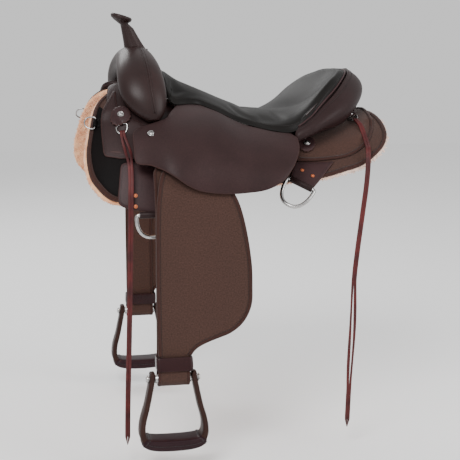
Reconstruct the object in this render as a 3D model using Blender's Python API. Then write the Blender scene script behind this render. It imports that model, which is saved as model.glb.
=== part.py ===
"""A gaited trail saddle: tree, seat, skirts, jockeys, rigging, fenders, stirrups and strings.

X runs from the horse's head (minus) to its tail (plus), minus Y is the near (left) side, Z is up.
The origin is on the ridge of the horse's back, half way along the saddle.
"""

import math

import bmesh
import bpy
import numpy as np
from mathutils import Vector
from mathutils.geometry import delaunay_2d_cdt

# Driving sizes, in metres
CELL_X = 0.060  # spacing of the folds across the saddle in every layer
CELL_S = 0.030  # spacing of the folds along the saddle in every layer
GAP = 0.0006  # air between two layers that lie on each other
FLEECE = 0.010
FLEECE_EDGE = 0.006  # how far the fleece shows past the skirt
SKIRT = 0.004
LEATHER = 0.003
SKIRT_IN = FLEECE + GAP
SKIRT_OUT = SKIRT_IN + SKIRT
BAR_IN = SKIRT_OUT + GAP
BAR_EDGE = 0.0050
BAR_CROWN = 0.012
RIGGING = 0.004
JOCKEY = 0.004
HINGE_Y = 0.194  # the line where the seat jockey bends when the fender lifts
HINGE_Z = 0.0520  # its height at x = 0
STIRRUP_Y = 0.300
FENDER_Y = STIRRUP_Y - 0.002
FENDER = 0.005
STRAP = 0.004
STRAP_FIT = 0.0012  # air between the stirrup leather and the fender
STIRRUP_X = -0.178
BOLT_Z = -0.462
BOLT_R = 0.005
BOLT_FIT = 0.0007
SPACER_R = 0.009
HANGER_Z = 0.030
HANGER_X = -0.170
HANGER_R = 0.005
RING_WIRE = 0.0036
RING_FIT = 0.0008
RING_HALF = 0.0318
RING_DEPTH = {"front": 0.046, "rear": 0.054}
RING_CORNER = 0.0055
STRING_R = 0.005

# Colours in linear light, roughness and metal for each kind of material
FINISHES = {
    "leather": ((0.065, 0.036, 0.033), 0.45, 0.0),
    "seat": ((0.020, 0.018, 0.018), 0.35, 0.0),
    "cordura": ((0.105, 0.052, 0.040), 0.85, 0.0),
    "fleece": ((0.680, 0.400, 0.240), 0.95, 0.0),
    "latigo": ((0.200, 0.028, 0.030), 0.50, 0.0),
    "steel": ((0.600, 0.590, 0.570), 0.28, 1.0),
    "wood": ((0.420, 0.270, 0.140), 0.70, 0.0),
}


# Small helpers
def clear_scene():
    for old in list(bpy.data.objects):
        bpy.data.objects.remove(old, do_unlink=True)


def material_for(name, finish):
    colour, rough, metal = FINISHES[finish]
    made = bpy.data.materials.new(name)
    made.use_nodes = True
    shader = made.node_tree.nodes["Principled BSDF"]
    shader.inputs["Base Color"].default_value = (*colour, 1.0)
    shader.inputs["Roughness"].default_value = rough
    shader.inputs["Metallic"].default_value = metal
    made.diffuse_color = (*colour, 1.0)
    return made


def finish_mesh(name, bm, finish, pivot=(0.0, 0.0, 0.0), smooth=True):
    """Stores a closed body as an object whose origin is at its pivot."""
    bmesh.ops.remove_doubles(bm, verts=bm.verts, dist=1e-6)
    bmesh.ops.recalc_face_normals(bm, faces=bm.faces)
    bmesh.ops.triangulate(bm, faces=bm.faces)
    if bm.calc_volume(signed=True) < 0:
        bmesh.ops.reverse_faces(bm, faces=bm.faces)
    bmesh.ops.translate(bm, verts=bm.verts, vec=-Vector(pivot))
    mesh = bpy.data.meshes.new(name)
    bm.to_mesh(mesh)
    bm.free()
    for face in mesh.polygons:
        face.use_smooth = smooth
    mesh.set_sharp_from_angle(angle=math.radians(40))
    mesh.materials.append(material_for(name, finish))
    made = bpy.data.objects.new(name, mesh)
    made.location = pivot
    bpy.context.scene.collection.objects.link(made)
    return made


def boolean(target, cutter, operation):
    """Joins or cuts with a helper that stays out of the picture."""
    cutter.hide_render = True
    cutter.display_type = "WIRE"
    step = target.modifiers.new(operation.lower(), "BOOLEAN")
    step.operation = operation
    step.solver = "EXACT"
    step.object = cutter
    return target


def blend01(value):
    value = min(max(value, 0.0), 1.0)
    return value * value * (3 - 2 * value)


def word(side):
    return "near" if side < 0 else "far"


# Curves through a few points
def hermite(a, b, slope_a, slope_b, t):
    h = 1 - t
    return (
        (1 + 2 * t) * h * h * a
        + t * h * h * slope_a
        + t * t * (3 - 2 * t) * b
        - t * t * h * slope_b
    )


def outline_of(points, steps=3):
    """A closed smooth outline; a point with a third value of 1 stays a corner."""
    flat = [Vector(p[:2]) for p in points]
    sharp = [len(p) > 2 for p in points]
    count = len(points)
    made = []
    for i in range(count):
        j = (i + 1) % count
        a, b = flat[i], flat[j]
        if sharp[i] and sharp[j]:
            made.append(a)
            continue
        slope_a = (b - a) if sharp[i] else (b - flat[i - 1]) / 2
        slope_b = (b - a) if sharp[j] else (flat[(j + 1) % count] - a) / 2
        for k in range(steps):
            made.append(hermite(a, b, slope_a, slope_b, k / steps))
    return [(p.x, p.y) for p in made]


def route_of(points, spacing):
    """An open smooth line through the points, in near equal steps."""
    flat = [Vector(p) for p in points]
    dense = []
    for i in range(len(flat) - 1):
        before = flat[max(i - 1, 0)]
        after = flat[min(i + 2, len(flat) - 1)]
        slope_a = (flat[i + 1] - before) / 2
        slope_b = (after - flat[i]) / 2
        for k in range(24):
            dense.append(hermite(flat[i], flat[i + 1], slope_a, slope_b, k / 24))
    dense.append(flat[-1])
    steps = [0.0]
    for a, b in zip(dense, dense[1:]):
        steps.append(steps[-1] + (b - a).length)
    count = max(2, round(steps[-1] / spacing) + 1)
    wanted = np.linspace(0, steps[-1], count)
    axes = [np.interp(wanted, steps, [p[k] for p in dense]) for k in range(3)]
    return [Vector(p) for p in zip(*axes)]


def keys(x, table):
    return float(np.interp(x, [k[0] for k in table], [k[1] for k in table]))


# The horse's back, on which every layer lies
def ridge_height(x):
    if x < 0:
        return 0.118 * math.sin(math.pi / 2 * x / 0.27) ** 2
    return 0.5 * x * x


def back_section(x):
    """Half width, height and roundness of the back at x."""
    front = min(max(-x / 0.33, 0), 1.1)
    rear = min(max(x / 0.31, 0), 1.1)
    return 0.284 - 0.022 * front + 0.016 * rear, 0.30 + 0.10 * front, 2 - 0.35 * front


def arc_point(wide, high, power, s):
    """Point and outward normal at arc length s from the top of a rounded arch."""
    turn = np.linspace(0, math.pi / 2, 721)
    y = wide * np.sin(turn) ** (2 / power)
    z = high * np.cos(turn) ** (2 / power)
    length = np.r_[0, np.cumsum(np.hypot(np.diff(y), np.diff(z)))]
    here = [np.interp(s, length, axis) for axis in (y, z)]
    past = [np.interp(s + 0.002, length, axis) for axis in (y, z)]
    before = [np.interp(max(s - 0.002, 0), length, axis) for axis in (y, z)]
    run = Vector((past[0] - before[0], past[1] - before[1]))
    run.normalize()
    if s <= 0:
        run = Vector((1.0, 0.0))
    return here[0], here[1], -run.y, run.x


class Surface:
    """A folded surface: flat triangles between grid points, so that layers never cross."""

    def __init__(self, node):
        self.node = node
        self.known = {}

    def grid(self, i, j, depth):
        x, s = i * CELL_X, j * CELL_S
        if (i, j) not in self.known:
            self.known[i, j] = self.node(x, s)
        y, z, ny, nz = self.known[i, j]
        t = depth(x, s) if callable(depth) else depth
        return Vector((x, y + t * ny, z + t * nz))

    def place(self, x, s, depth, side=1):
        fx, fs = x / CELL_X, s / CELL_S
        i, j = math.floor(fx), math.floor(fs)
        u, v = fx - i, fs - j
        if u >= v:
            corners = ((i, j, 1 - u), (i + 1, j, u - v), (i + 1, j + 1, v))
        else:
            corners = ((i, j, 1 - v), (i, j + 1, v - u), (i + 1, j + 1, u))
        made = Vector((0, 0, 0))
        for a, b, share in corners:
            made += share * self.grid(a, b, depth)
        return Vector((made.x, side * made.y, made.z))


def back_node(x, s):
    wide, high, power = back_section(x)
    y, z, ny, nz = arc_point(wide, high, power, abs(s))
    if s < 0:
        y, ny = -y, -ny
    return y, z - high + ridge_height(x), ny, nz


BACK = Surface(back_node)


# The rounder surface that the seat jockeys follow over the fenders
OUTER_Z = -0.09


def outer_section(x):
    pinch = 0.048 * blend01((-0.195 - x) / 0.06) + 0.02 * blend01((x - 0.03) / 0.12)
    return STIRRUP_Y + 0.010 - pinch, 0.152 + 0.035 * blend01((0.03 - x) / 0.12)


def outer_node(x, s):
    wide, high = outer_section(x)
    y, z, ny, nz = arc_point(wide, high, 2, s)
    return y, OUTER_Z + z, ny, nz


OUTER = Surface(outer_node)


def outer_s(x, y):
    """Arc length on the outer surface at half width y."""
    low, high = 0.0, 0.36
    for _ in range(30):
        middle = (low + high) / 2
        if OUTER.place(x, middle, 0).y < y:
            low = middle
        else:
            high = middle
    return low


# Thickness of the stacked layers
def bar_out(x, s):
    across = max(0.0, 1 - ((s - 0.10) / 0.085) ** 2)
    along = max(0.0, 1 - (x / 0.31) ** 4)
    return BAR_IN + BAR_EDGE + BAR_CROWN * across * along


def over_bar_in(x, s):
    return bar_out(x, s) + GAP


def over_bar_out(x, s):
    return over_bar_in(x, s) + LEATHER


# Builders of closed bodies
def fold_lines(outline):
    """The grid lines and diagonals that cross an outline."""
    low_x, low_s = (min(p[k] for p in outline) - 0.01 for k in (0, 1))
    high_x, high_s = (max(p[k] for p in outline) + 0.01 for k in (0, 1))
    lines = []
    for i in range(math.ceil(low_x / CELL_X), math.floor(high_x / CELL_X) + 1):
        lines.append(((i * CELL_X, low_s), (i * CELL_X, high_s)))
    for j in range(math.ceil(low_s / CELL_S), math.floor(high_s / CELL_S) + 1):
        lines.append(((low_x, j * CELL_S), (high_x, j * CELL_S)))
    first = math.floor(low_x / CELL_X - high_s / CELL_S)
    last = math.ceil(high_x / CELL_X - low_s / CELL_S)
    for k in range(first, last + 1):
        start = ((k + low_s / CELL_S) * CELL_X, low_s)
        lines.append((start, ((k + high_s / CELL_S) * CELL_X, high_s)))
    return lines


def inside(x, s, outline):
    """Whether a point is inside a closed outline."""
    found = False
    for (ax, a), (bx, b) in zip(outline, outline[1:] + outline[:1]):
        if (a > s) != (b > s) and x < ax + (s - a) / (b - a) * (bx - ax):
            found = not found
    return found


def cut_flat(outline, lines):
    """Triangles inside a flat outline, cut along the given lines."""
    points = [Vector((x * 1000, s * 1000)) for x, s in outline]
    face = list(range(len(points)))
    edges = []
    for pair in lines:
        edges.append((len(points), len(points) + 1))
        points += [Vector((x * 1000, s * 1000)) for x, s in pair]
    made = delaunay_2d_cdt(points, edges, [face], 1, 1e-3)
    verts = made[0]
    faces = []
    for f in made[2]:
        x, s = (sum(verts[v][k] for v in f) / 3000 for k in (0, 1))
        if inside(x, s, outline):
            faces.append(f)
    used = sorted({v for f in faces for v in f})
    number = {v: n for n, v in enumerate(used)}
    return [(verts[v].x / 1000, verts[v].y / 1000) for v in used], [
        tuple(number[v] for v in f) for f in faces
    ]


def thick_sheet(name, flat, faces, low_place, high_place, finish, pivot=(0, 0, 0)):
    """A closed body between two placings of the same flat triangles."""
    bm = bmesh.new()
    low = [bm.verts.new(low_place(*p)) for p in flat]
    high = [bm.verts.new(high_place(*p)) for p in flat]
    seen = {}
    for f in faces:
        bm.faces.new([high[v] for v in f])
        bm.faces.new([low[v] for v in reversed(f)])
        for a, b in zip(f, f[1:] + f[:1]):
            key = (min(a, b), max(a, b))
            seen[key] = None if key in seen else (a, b)
    for pair in seen.values():
        if pair:
            a, b = pair
            bm.faces.new((low[a], low[b], high[b], high[a]))
    return finish_mesh(name, bm, finish, pivot)


def sheet(name, outline, surface, inner, outer, side, finish, pivot=(0, 0, 0)):
    flat, faces = cut_flat(outline, fold_lines(outline))
    return thick_sheet(
        name,
        flat,
        faces,
        lambda x, s: surface.place(x, s, inner, side),
        lambda x, s: surface.place(x, s, outer, side),
        finish,
        pivot,
    )


def ring_faces(bm, rings, closed=False):
    pairs = list(zip(rings, rings[1:])) + ([(rings[-1], rings[0])] if closed else [])
    for a, b in pairs:
        for k in range(len(a)):
            m = (k + 1) % len(a)
            bm.faces.new((a[k], a[m], b[m], b[k]))


def loft(name, rings, finish, pivot=(0, 0, 0), closed=False):
    """A body through rings of points, capped at its ends unless it is closed on itself."""
    bm = bmesh.new()
    made = [[bm.verts.new(p) for p in ring] for ring in rings]
    ring_faces(bm, made, closed)
    if not closed:
        bm.faces.new(made[0])
        bm.faces.new(made[-1])
    return finish_mesh(name, bm, finish, pivot)


def shell(name, outer, inner, finish, pivot=(0, 0, 0)):
    """A tube with a wall between two lofts, open at both ends."""
    bm = bmesh.new()
    out = [[bm.verts.new(p) for p in ring] for ring in outer]
    inn = [[bm.verts.new(p) for p in ring] for ring in inner]
    ring_faces(bm, out)
    ring_faces(bm, inn)
    ring_faces(bm, [out[0], inn[0]])
    ring_faces(bm, [out[-1], inn[-1]])
    return finish_mesh(name, bm, finish, pivot)


def frames_along(points, closed, hint):
    """A side vector and a second one across the line at each point."""
    made = []
    count = len(points)
    for i, here in enumerate(points):
        if closed:
            run = points[(i + 1) % count] - points[i - 1]
        else:
            run = points[min(i + 1, count - 1)] - points[max(i - 1, 0)]
        run.normalize()
        across = hint - hint.dot(run) * run
        across.normalize()
        made.append((here, across, run.cross(across)))
    return made


def wire(name, points, radius, finish, closed, hint, sides=8, pivot=(0, 0, 0)):
    rings = []
    for here, u, v in frames_along(points, closed, hint):
        turns = [2 * math.pi * k / sides for k in range(sides)]
        rings.append([here + radius * (math.cos(a) * u + math.sin(a) * v) for a in turns])
    return loft(name, rings, finish, pivot, closed)


def spindle(name, steps, centre, finish, pivot=(0, 0, 0), sides=10):
    """A turned piece along X; steps are (x, radius)."""
    rings = []
    for x, radius in steps:
        turns = [2 * math.pi * k / sides for k in range(sides)]
        rings.append(
            [
                Vector((x, centre[1] + radius * math.cos(a), centre[2] + radius * math.sin(a)))
                for a in turns
            ]
        )
    return loft(name, rings, finish, pivot)


# Skirts and their fleece lining
SKIRT_OUTLINE = [
    (-0.260, 0.052), (-0.293, 0.076), (-0.310, 0.098), (-0.319, 0.122), (-0.328, 0.160),
    (-0.336, 0.205), (-0.332, 0.255), (-0.317, 0.292), (-0.299, 0.319), (-0.278, 0.333),
    (-0.245, 0.335), (-0.190, 0.305), (-0.110, 0.263), (0.000, 0.245), (0.100, 0.235),
    (0.160, 0.228), (0.208, 0.225), (0.241, 0.223), (0.266, 0.215), (0.291, 0.200),
    (0.306, 0.185), (0.317, 0.160), (0.320, 0.124), (0.319, 0.090), (0.315, 0.045),
    (0.307, 0.006, 1), (0.180, 0.006, 1), (0.120, 0.030), (0.000, 0.034), (-0.150, 0.036),
    (-0.220, 0.040),
]


def grown(outline, amount):
    """The outline moved outwards by the amount."""
    made = []
    count = len(outline)
    for i in range(count):
        before = Vector(outline[i - 1])
        here = Vector(outline[i])
        after = Vector(outline[(i + 1) % count])
        run = (after - before).normalized()
        made.append((here.x - amount * run.y, here.y + amount * run.x))
    return made


def skirt(side):
    outline = outline_of(SKIRT_OUTLINE, 1)
    return sheet(f"skirt_{word(side)}", outline, BACK, SKIRT_IN, SKIRT_OUT, side, "cordura")


def fleece(side):
    outline = [
        (x, max(s, 0.002)) for x, s in grown(outline_of(SKIRT_OUTLINE, 1), FLEECE_EDGE)
    ]
    return sheet(f"fleece_{word(side)}", outline, BACK, 0.0, FLEECE, side, "fleece")


# The tree
BAR_OUTLINE = [
    (-0.282, 0.080), (-0.268, 0.048), (-0.200, 0.042), (-0.100, 0.042), (0.100, 0.040),
    (0.235, 0.038), (0.275, 0.060), (0.282, 0.100), (0.262, 0.145), (0.200, 0.160),
    (0.050, 0.150), (-0.080, 0.152), (-0.200, 0.168), (-0.262, 0.165), (-0.282, 0.125),
]


def tree_bar(side):
    outline = outline_of(BAR_OUTLINE, 2)
    return sheet(f"tree_bar_{word(side)}", outline, BACK, BAR_IN, bar_out, side, "wood")


# Half of the fork: half width, height, centre x, half length and half thickness
FORK = [
    (0.166, 0.057, -0.196, 0.014, 0.010),
    (0.159, 0.075, -0.203, 0.033, 0.018),
    (0.143, 0.104, -0.211, 0.047, 0.026),
    (0.119, 0.134, -0.2145, 0.0495, 0.029),
    (0.086, 0.159, -0.216, 0.047, 0.029),
    (0.043, 0.176, -0.2165, 0.042, 0.028),
    (0.000, 0.182, -0.2165, 0.039, 0.028),
]
FORK_SIDES = 12
COVER = 0.003


def fork_rings(trim):
    """Rings from the near foot to the far foot, thinned by the trim all round."""
    rows = [(-y, z, x, half, thick) for y, z, x, half, thick in FORK]
    rows += [(y, z, x, half, thick) for y, z, x, half, thick in reversed(FORK[:-1])]
    centres = [Vector((x, y, z)) for y, z, x, _, _ in rows]
    rings = []
    for i, (_, _, _, half, thick) in enumerate(rows):
        run = centres[min(i + 1, len(rows) - 1)] - centres[max(i - 1, 0)]
        outward = Vector((0, -run.z, run.y)).normalized()
        ring = []
        for k in range(FORK_SIDES):
            turn = 2 * math.pi * k / FORK_SIDES
            along = (half - trim) * math.cos(turn)
            up = (thick - trim) * math.sin(turn)
            ring.append(centres[i] + Vector((along, 0, 0)) + up * outward)
        rings.append(ring)
    return rings


def fork():
    return loft("tree_fork", fork_rings(COVER + GAP), "wood")


def swell_cover():
    return shell("swell_cover", fork_rings(0), fork_rings(COVER), "leather")


# The horn: a cone that leans forward under a tilted cap
HORN_FOOT = Vector((-0.2145, 0, 0.196))
HORN_NECK = Vector((-0.2330, 0, 0.2520))
HORN_CAP = Vector((-0.2430, 0, 0.2705))
HORN_TILT = math.radians(16.5)
HORN_RADII = (0.0215, 0.0115, 0.0235)
HORN_RIM = 0.0085
HORN_FIT = 0.0014
HORN_SIDES = 16


def horn_ring(centre, radius, tilt, lift=0.0):
    """A round ring whose front edge is raised by the tilt."""
    forward = Vector((-math.cos(tilt), 0, math.sin(tilt)))
    up = Vector((math.sin(tilt), 0, math.cos(tilt)))
    middle = centre + lift * up
    ring = []
    for k in range(HORN_SIDES):
        turn = 2 * math.pi * k / HORN_SIDES
        ring.append(
            middle + radius * (math.cos(turn) * forward + math.sin(turn) * Vector((0, 1, 0)))
        )
    return ring


def horn_cover():
    foot, neck, cap = HORN_RADII
    rings = [horn_ring(HORN_FOOT + Vector((0.003, 0, -0.012)), foot * 1.1, 0)]
    for k in range(4):
        share = k / 4
        centre = HORN_FOOT.lerp(HORN_NECK, share)
        rings.append(horn_ring(centre, foot + (neck - foot) * share**0.8, HORN_TILT * share))
    rings.append(horn_ring(HORN_NECK, neck, HORN_TILT))
    rings.append(horn_ring(HORN_CAP, cap * 0.72, HORN_TILT, -0.0065))
    rings.append(horn_ring(HORN_CAP, cap * 0.96, HORN_TILT, -0.002))
    rings.append(horn_ring(HORN_CAP, cap, HORN_TILT, 0.001))
    rings.append(horn_ring(HORN_CAP, cap * 0.97, HORN_TILT, HORN_RIM * 0.6))
    rings.append(horn_ring(HORN_CAP, cap * 0.86, HORN_TILT, HORN_RIM * 0.85))
    made = loft("horn_cover", rings, "leather")
    boolean(made, loft("cut_swell", fork_rings(-GAP), "leather"), "DIFFERENCE")
    return boolean(made, horn_post("cut_post", HORN_FIT), "DIFFERENCE")


def horn_post(name, trim):
    """The metal core, which fills the cover from the swell up to just under the cap's top."""
    foot, neck, cap = (r - 0.004 + trim for r in HORN_RADII)
    low = HORN_FOOT - Vector((0, 0, 0.012 + trim))
    rings = [
        horn_ring(low, foot, 0),
        horn_ring(HORN_FOOT.lerp(HORN_NECK, 0.3), foot * 0.8, HORN_TILT * 0.3),
        horn_ring(HORN_NECK, neck, HORN_TILT),
        horn_ring(HORN_CAP, neck, HORN_TILT, -0.003 + trim / 2),
    ]
    return loft(name, rings, "steel")


def horn_core():
    made = horn_post("horn_core", 0)
    return boolean(made, bpy.data.objects["cut_swell"], "DIFFERENCE")


# Ribs of the seat: spine x, then crest x, y, z, then seam x, y, z and how far it wraps the cantle
SEAT_RIBS = [
    (-0.148, -0.157, 0.000, 0.149, -0.1610, 0.000, 0.142, 0.0),
    (-0.148, -0.156, 0.030, 0.146, -0.1605, 0.038, 0.138, 0.0),
    (-0.146, -0.154, 0.058, 0.134, -0.1590, 0.072, 0.122, 0.0),
    (-0.140, -0.148, 0.078, 0.116, -0.1565, 0.104, 0.099, 0.0),
    (-0.130, -0.137, 0.078, 0.109, -0.1400, 0.110, 0.087, 0.0),
    (-0.112, -0.113, 0.070, 0.109, -0.1120, 0.100, 0.000, 0.0),
    (-0.088, -0.088, 0.073, 0.104, -0.0880, 0.102, 0.000, 0.0),
    (-0.060, -0.062, 0.086, 0.093, -0.0640, 0.124, 0.000, 0.0),
    (-0.030, -0.034, 0.102, 0.080, -0.0380, 0.138, 0.000, 0.0),
    (0.000, -0.008, 0.116, 0.068, -0.0120, 0.148, 0.000, 0.0),
    (0.035, 0.028, 0.133, 0.058, 0.0240, 0.163, 0.000, 0.0),
    (0.060, 0.062, 0.148, 0.053, 0.0590, 0.180, 0.000, 0.0),
    (0.072, 0.100, 0.160, 0.058, 0.0970, 0.1845, 0.000, 0.3),
    (0.078, 0.135, 0.160, 0.080, 0.1340, 0.1810, 0.046, 1.0),
    (0.082, 0.168, 0.145, 0.112, 0.1720, 0.1600, 0.076, 1.0),
    (0.084, 0.202, 0.114, 0.139, 0.2090, 0.1260, 0.102, 1.0),
    (0.085, 0.231, 0.070, 0.154, 0.2420, 0.0790, 0.128, 1.0),
    (0.085, 0.245, 0.035, 0.158, 0.2600, 0.0390, 0.142, 1.0),
    (0.085, 0.250, 0.000, 0.159, 0.2660, 0.0000, 0.147, 1.0),
]
SPINE = [
    (-0.157, 0.150), (-0.121, 0.129), (-0.101, 0.122), (-0.073, 0.112), (-0.032, 0.0945),
    (0.005, 0.0800), (0.028, 0.0725), (0.059, 0.0680), (0.085, 0.0665),
]
SEAT_RINGS = (0.0, 0.3, 0.58, 0.82)
SEAT_FOAM = 0.019
CREST_DROP = 0.013
SEAT_EDGE = 0.0045
SEAM_GAP = 0.0020
BOARD = 0.013
BOARD_FIT = 0.0018


def seat_rows():
    """The ribs with their seam heights filled in, and one more between each two at the cantle."""
    rows = []
    for row in SEAT_RIBS:
        row = list(row)
        if row[6] == 0:
            row[6] = OUTER.place(row[4], outer_s(row[4], row[5]), 0).z
        rows.append(row)
    full = []
    for i, row in enumerate(rows):
        full.append(row)
        if row[7] > 0 and i + 1 < len(rows):
            before, after = rows[max(i - 1, 0)], rows[min(i + 2, len(rows) - 1)]
            pairs = zip(before, row, rows[i + 1], after)
            full.append([hermite(a, b, (b - p) / 2, (n - a) / 2, 0.5) for p, a, b, n in pairs])
            full[-1][7] = (row[7] + rows[i + 1][7]) / 2
    return full


def seat_point(row, share, drop=0.0):
    """A point of the seat's top between its spine and crest."""
    spine_x = min(row[0], SPINE[-1][0])
    start = Vector((spine_x, 0, keys(spine_x, SPINE)))
    crest = Vector(row[1:4])
    here = start.lerp(crest, share)
    bend = 2.0 + 0.5 * row[7]
    here.z = start.z + (crest.z - start.z) * share**bend - drop
    return here


def seat_out(row):
    """Outward direction in plan at a rib's end."""
    run = Vector((row[4] - row[0], row[5], 0))
    return run.normalized()


def seat_rib(row):
    """The points round one rib: top from spine to seam, then the underside back to the spine."""
    crest, seam, wrap = Vector(row[1:4]), Vector(row[4:7]), row[7]
    out = seat_out(row)
    bulge = crest.lerp(seam, 0.5) + out * 0.006 + Vector((0, 0, 0.004))
    top = [seat_point(row, share) for share in SEAT_RINGS]
    top += [seat_point(row, 0.93), crest, bulge, seam]
    wall = seam - out * SEAT_EDGE
    wall.z = seam.z - 0.0005 * (1 - wrap)
    lid_out = wall.copy()
    lid_out.z = wall.z + wrap * (crest.z - CREST_DROP - wall.z)
    inner = seam - out * (SEAT_EDGE + BOARD + 0.0012)
    lid_in = wall.lerp(inner, wrap)
    lid_in.z = lid_out.z + (1 - wrap) * 0.0003
    deep = [seat_point(row, share, SEAT_FOAM) for share in reversed(SEAT_RINGS)]
    if wrap < 1:
        lid_in = lid_out.lerp(deep[0], 0.25 * (1 - wrap)) if wrap == 0 else lid_in
    return top, [wall, lid_out, lid_in] + deep


def seat():
    """The padded seat, one closed cushion that wraps the cantle's rim."""
    bm = bmesh.new()
    rows = seat_rows()
    strips = []
    for side in (-1, 1):
        for row in rows:
            top, under = seat_rib(row)
            strips.append([(p.x, side * p.y, p.z) for p in top + under])
    near, far = strips[: len(rows)], strips[len(rows) :]
    loop = near + far[::-1][1:-1]
    made = [[bm.verts.new(p) for p in ring] for ring in loop]
    count = len(made[0])
    for a, b in zip(made, made[1:] + made[:1]):
        for k in range(count - 1):
            bm.faces.new((a[k], a[k + 1], b[k + 1], b[k]))
    return finish_mesh("seat", bm, "seat")


def ground_seat():
    """The stiff sheet under the cushion that bridges the bars from fork to cantle."""
    bm = bmesh.new()
    rows = seat_rows()
    loop = []
    for side in (-1, 1):
        strip = []
        for row in rows:
            top = [seat_point(row, share, SEAT_FOAM + GAP) for share in SEAT_RINGS]
            under = [p - Vector((0, 0, 0.003)) for p in reversed(top)]
            strip.append([(p.x, side * p.y, p.z) for p in top + under])
        loop += strip if side < 0 else strip[::-1][1:-1]
    made = [[bm.verts.new(p) for p in ring] for ring in loop]
    count = len(made[0])
    for a, b in zip(made, made[1:] + made[:1]):
        for k in range(count - 1):
            bm.faces.new((a[k], a[k + 1], b[k + 1], b[k]))
    return finish_mesh("ground_seat", bm, "leather")


# The cantle: a curved board behind the seat and the padded leather on its back
BOARD_FOOT = [
    (0.12, 0.040), (0.134, 0.018), (0.172, 0.026), (0.209, 0.044), (0.242, 0.064), (0.266, 0.074),
]
ROLL = [
    (0.0008, -0.0010), (0.012, -0.0020), (0.026, -0.009), (0.035, -0.021), (0.036, -0.036),
    (0.029, -0.052), (0.016, -0.063), (0.0008, -0.060),
]


def cantle_rows():
    near = [row for row in seat_rows() if row[7] > 0.99]
    far = [[*row[:2], -row[2], row[3], row[4], -row[5], row[6], row[7]] for row in near]
    return far + near[::-1][1:]


def tree_cantle():
    rings = []
    for row in cantle_rows():
        crest, seam = Vector(row[1:4]), Vector(row[4:7])
        run = Vector((row[4] - row[0], row[5], 0)).normalized()
        top = crest.z - CREST_DROP - BOARD_FIT
        foot = keys(row[4], BOARD_FOOT)
        outer = seam - run * (SEAT_EDGE + BOARD_FIT)
        inner = outer - run * (BOARD - 1.4 * BOARD_FIT)
        ring = []
        for base, z in ((outer, foot), (outer, top), (inner, top), (inner, foot)):
            ring.append(Vector((base.x, base.y, z)))
        rings.append(ring)
    return loft("tree_cantle", rings, "wood")


def cantle_cover():
    rings = []
    rows = cantle_rows()
    for i, row in enumerate(rows):
        seam = Vector(row[4:7])
        run = Vector((row[4] - row[0], row[5], 0)).normalized()
        centre = 1 - abs(i / (len(rows) - 1) - 0.5) * 2
        size = 0.40 + 0.60 * blend01(centre * 1.15)
        ring = [seam + run * (out * size) + Vector((0, 0, up * size)) for out, up in ROLL]
        rings.append(ring)
    return loft("cantle_cover", rings, "leather")


# The seat jockeys
def seam_line():
    return [(row[4], row[5]) for row in SEAT_RIBS[4:13]]


LOBE = [
    (-0.2440, 0.262), (-0.2440, 0.240), (-0.2425, 0.216), (-0.232, 0.205), (-0.210, 0.202),
    (-0.187, 0.198), (-0.170, 0.186), (-0.162, 0.165),
]
FLAP = [
    (0.113, 0.212), (0.107, 0.250), (0.091, 0.287), (0.074, 0.315), (0.056, 0.337),
    (0.023, 0.353), (-0.012, 0.367), (-0.050, 0.377), (-0.121, 0.3825), (-0.143, 0.379),
    (-0.169, 0.362), (-0.193, 0.329), (-0.217, 0.302), (-0.2425, 0.287),
]
SPLIT_X = -0.1980
SPLIT_S = 0.2630
SPLIT_GAP = 0.0010


def open_curve(points, steps=2):
    """The same smooth curve as outline_of, without closing it."""
    flat = [Vector(p[:2]) for p in points]
    made = []
    for i in range(len(flat) - 1):
        slope_a = (flat[i + 1] - flat[max(i - 1, 0)]) / 2
        slope_b = (flat[min(i + 2, len(flat) - 1)] - flat[i]) / 2
        for k in range(steps):
            made.append(hermite(flat[i], flat[i + 1], slope_a, slope_b, k / steps))
    made.append(flat[-1])
    return [(p.x, p.y) for p in made]


def hinge_line(offset, start, end):
    count = 8
    made = []
    for k in range(count + 1):
        x = start + (end - start) * k / count
        made.append((x, outer_s(x, HINGE_Y + offset)))
    return made


def seat_jockey(side):
    """The part of the seat jockey that stays put, with its screwed-down front lobe."""
    top = [(x, outer_s(x, y) + SEAM_GAP) for x, y in open_curve(seam_line())]
    top = [p for p in top if p[0] > -0.155]
    edge = SPLIT_X - SPLIT_GAP / 2
    outline = top + hinge_line(-SPLIT_GAP / 2, 0.104, edge)
    outline += [(edge, SPLIT_S - SPLIT_GAP / 2), (LOBE[0][0], SPLIT_S - SPLIT_GAP / 2)]
    outline += open_curve(LOBE)[1:]
    name = f"seat_jockey_{word(side)}"
    return sheet(name, outline, OUTER, -JOCKEY, 0.0, side, "leather")


def jockey_flap(side):
    """The part of the seat jockey that lifts with the fender."""
    edge = SPLIT_X + SPLIT_GAP / 2
    outline = [(edge, SPLIT_S + SPLIT_GAP / 2)] + hinge_line(SPLIT_GAP / 2, edge, 0.113)
    outline += open_curve(FLAP) + [(LOBE[0][0], SPLIT_S + SPLIT_GAP / 2)]
    pivot = (0, side * HINGE_Y, HINGE_Z)
    name = f"jockey_flap_{word(side)}"
    return sheet(name, outline, OUTER, -JOCKEY, 0.0, side, "leather", pivot)


# Front and rear jockeys
FRONT_JOCKEY = [
    (-0.273, 0.082), (-0.283, 0.100), (-0.299, 0.127), (-0.304, 0.160), (-0.303, 0.223, 1),
    (-0.297, 0.233), (-0.269, 0.2455, 1), (-0.230, 0.246), (-0.200, 0.232, 1), (-0.202, 0.196, 1),
    (-0.228, 0.186), (-0.236, 0.170), (-0.251, 0.158), (-0.265, 0.134), (-0.2675, 0.100),
    (-0.266, 0.080),
]
REAR_JOCKEY = [
    (0.303, 0.030), (0.302, 0.060), (0.299, 0.100), (0.294, 0.129), (0.282, 0.156),
    (0.266, 0.174), (0.240, 0.188), (0.210, 0.192), (0.150, 0.184), (0.112, 0.176, 1),
    (0.108, 0.130), (0.135, 0.110), (0.165, 0.060), (0.190, 0.007, 1), (0.298, 0.007, 1),
]


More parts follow.
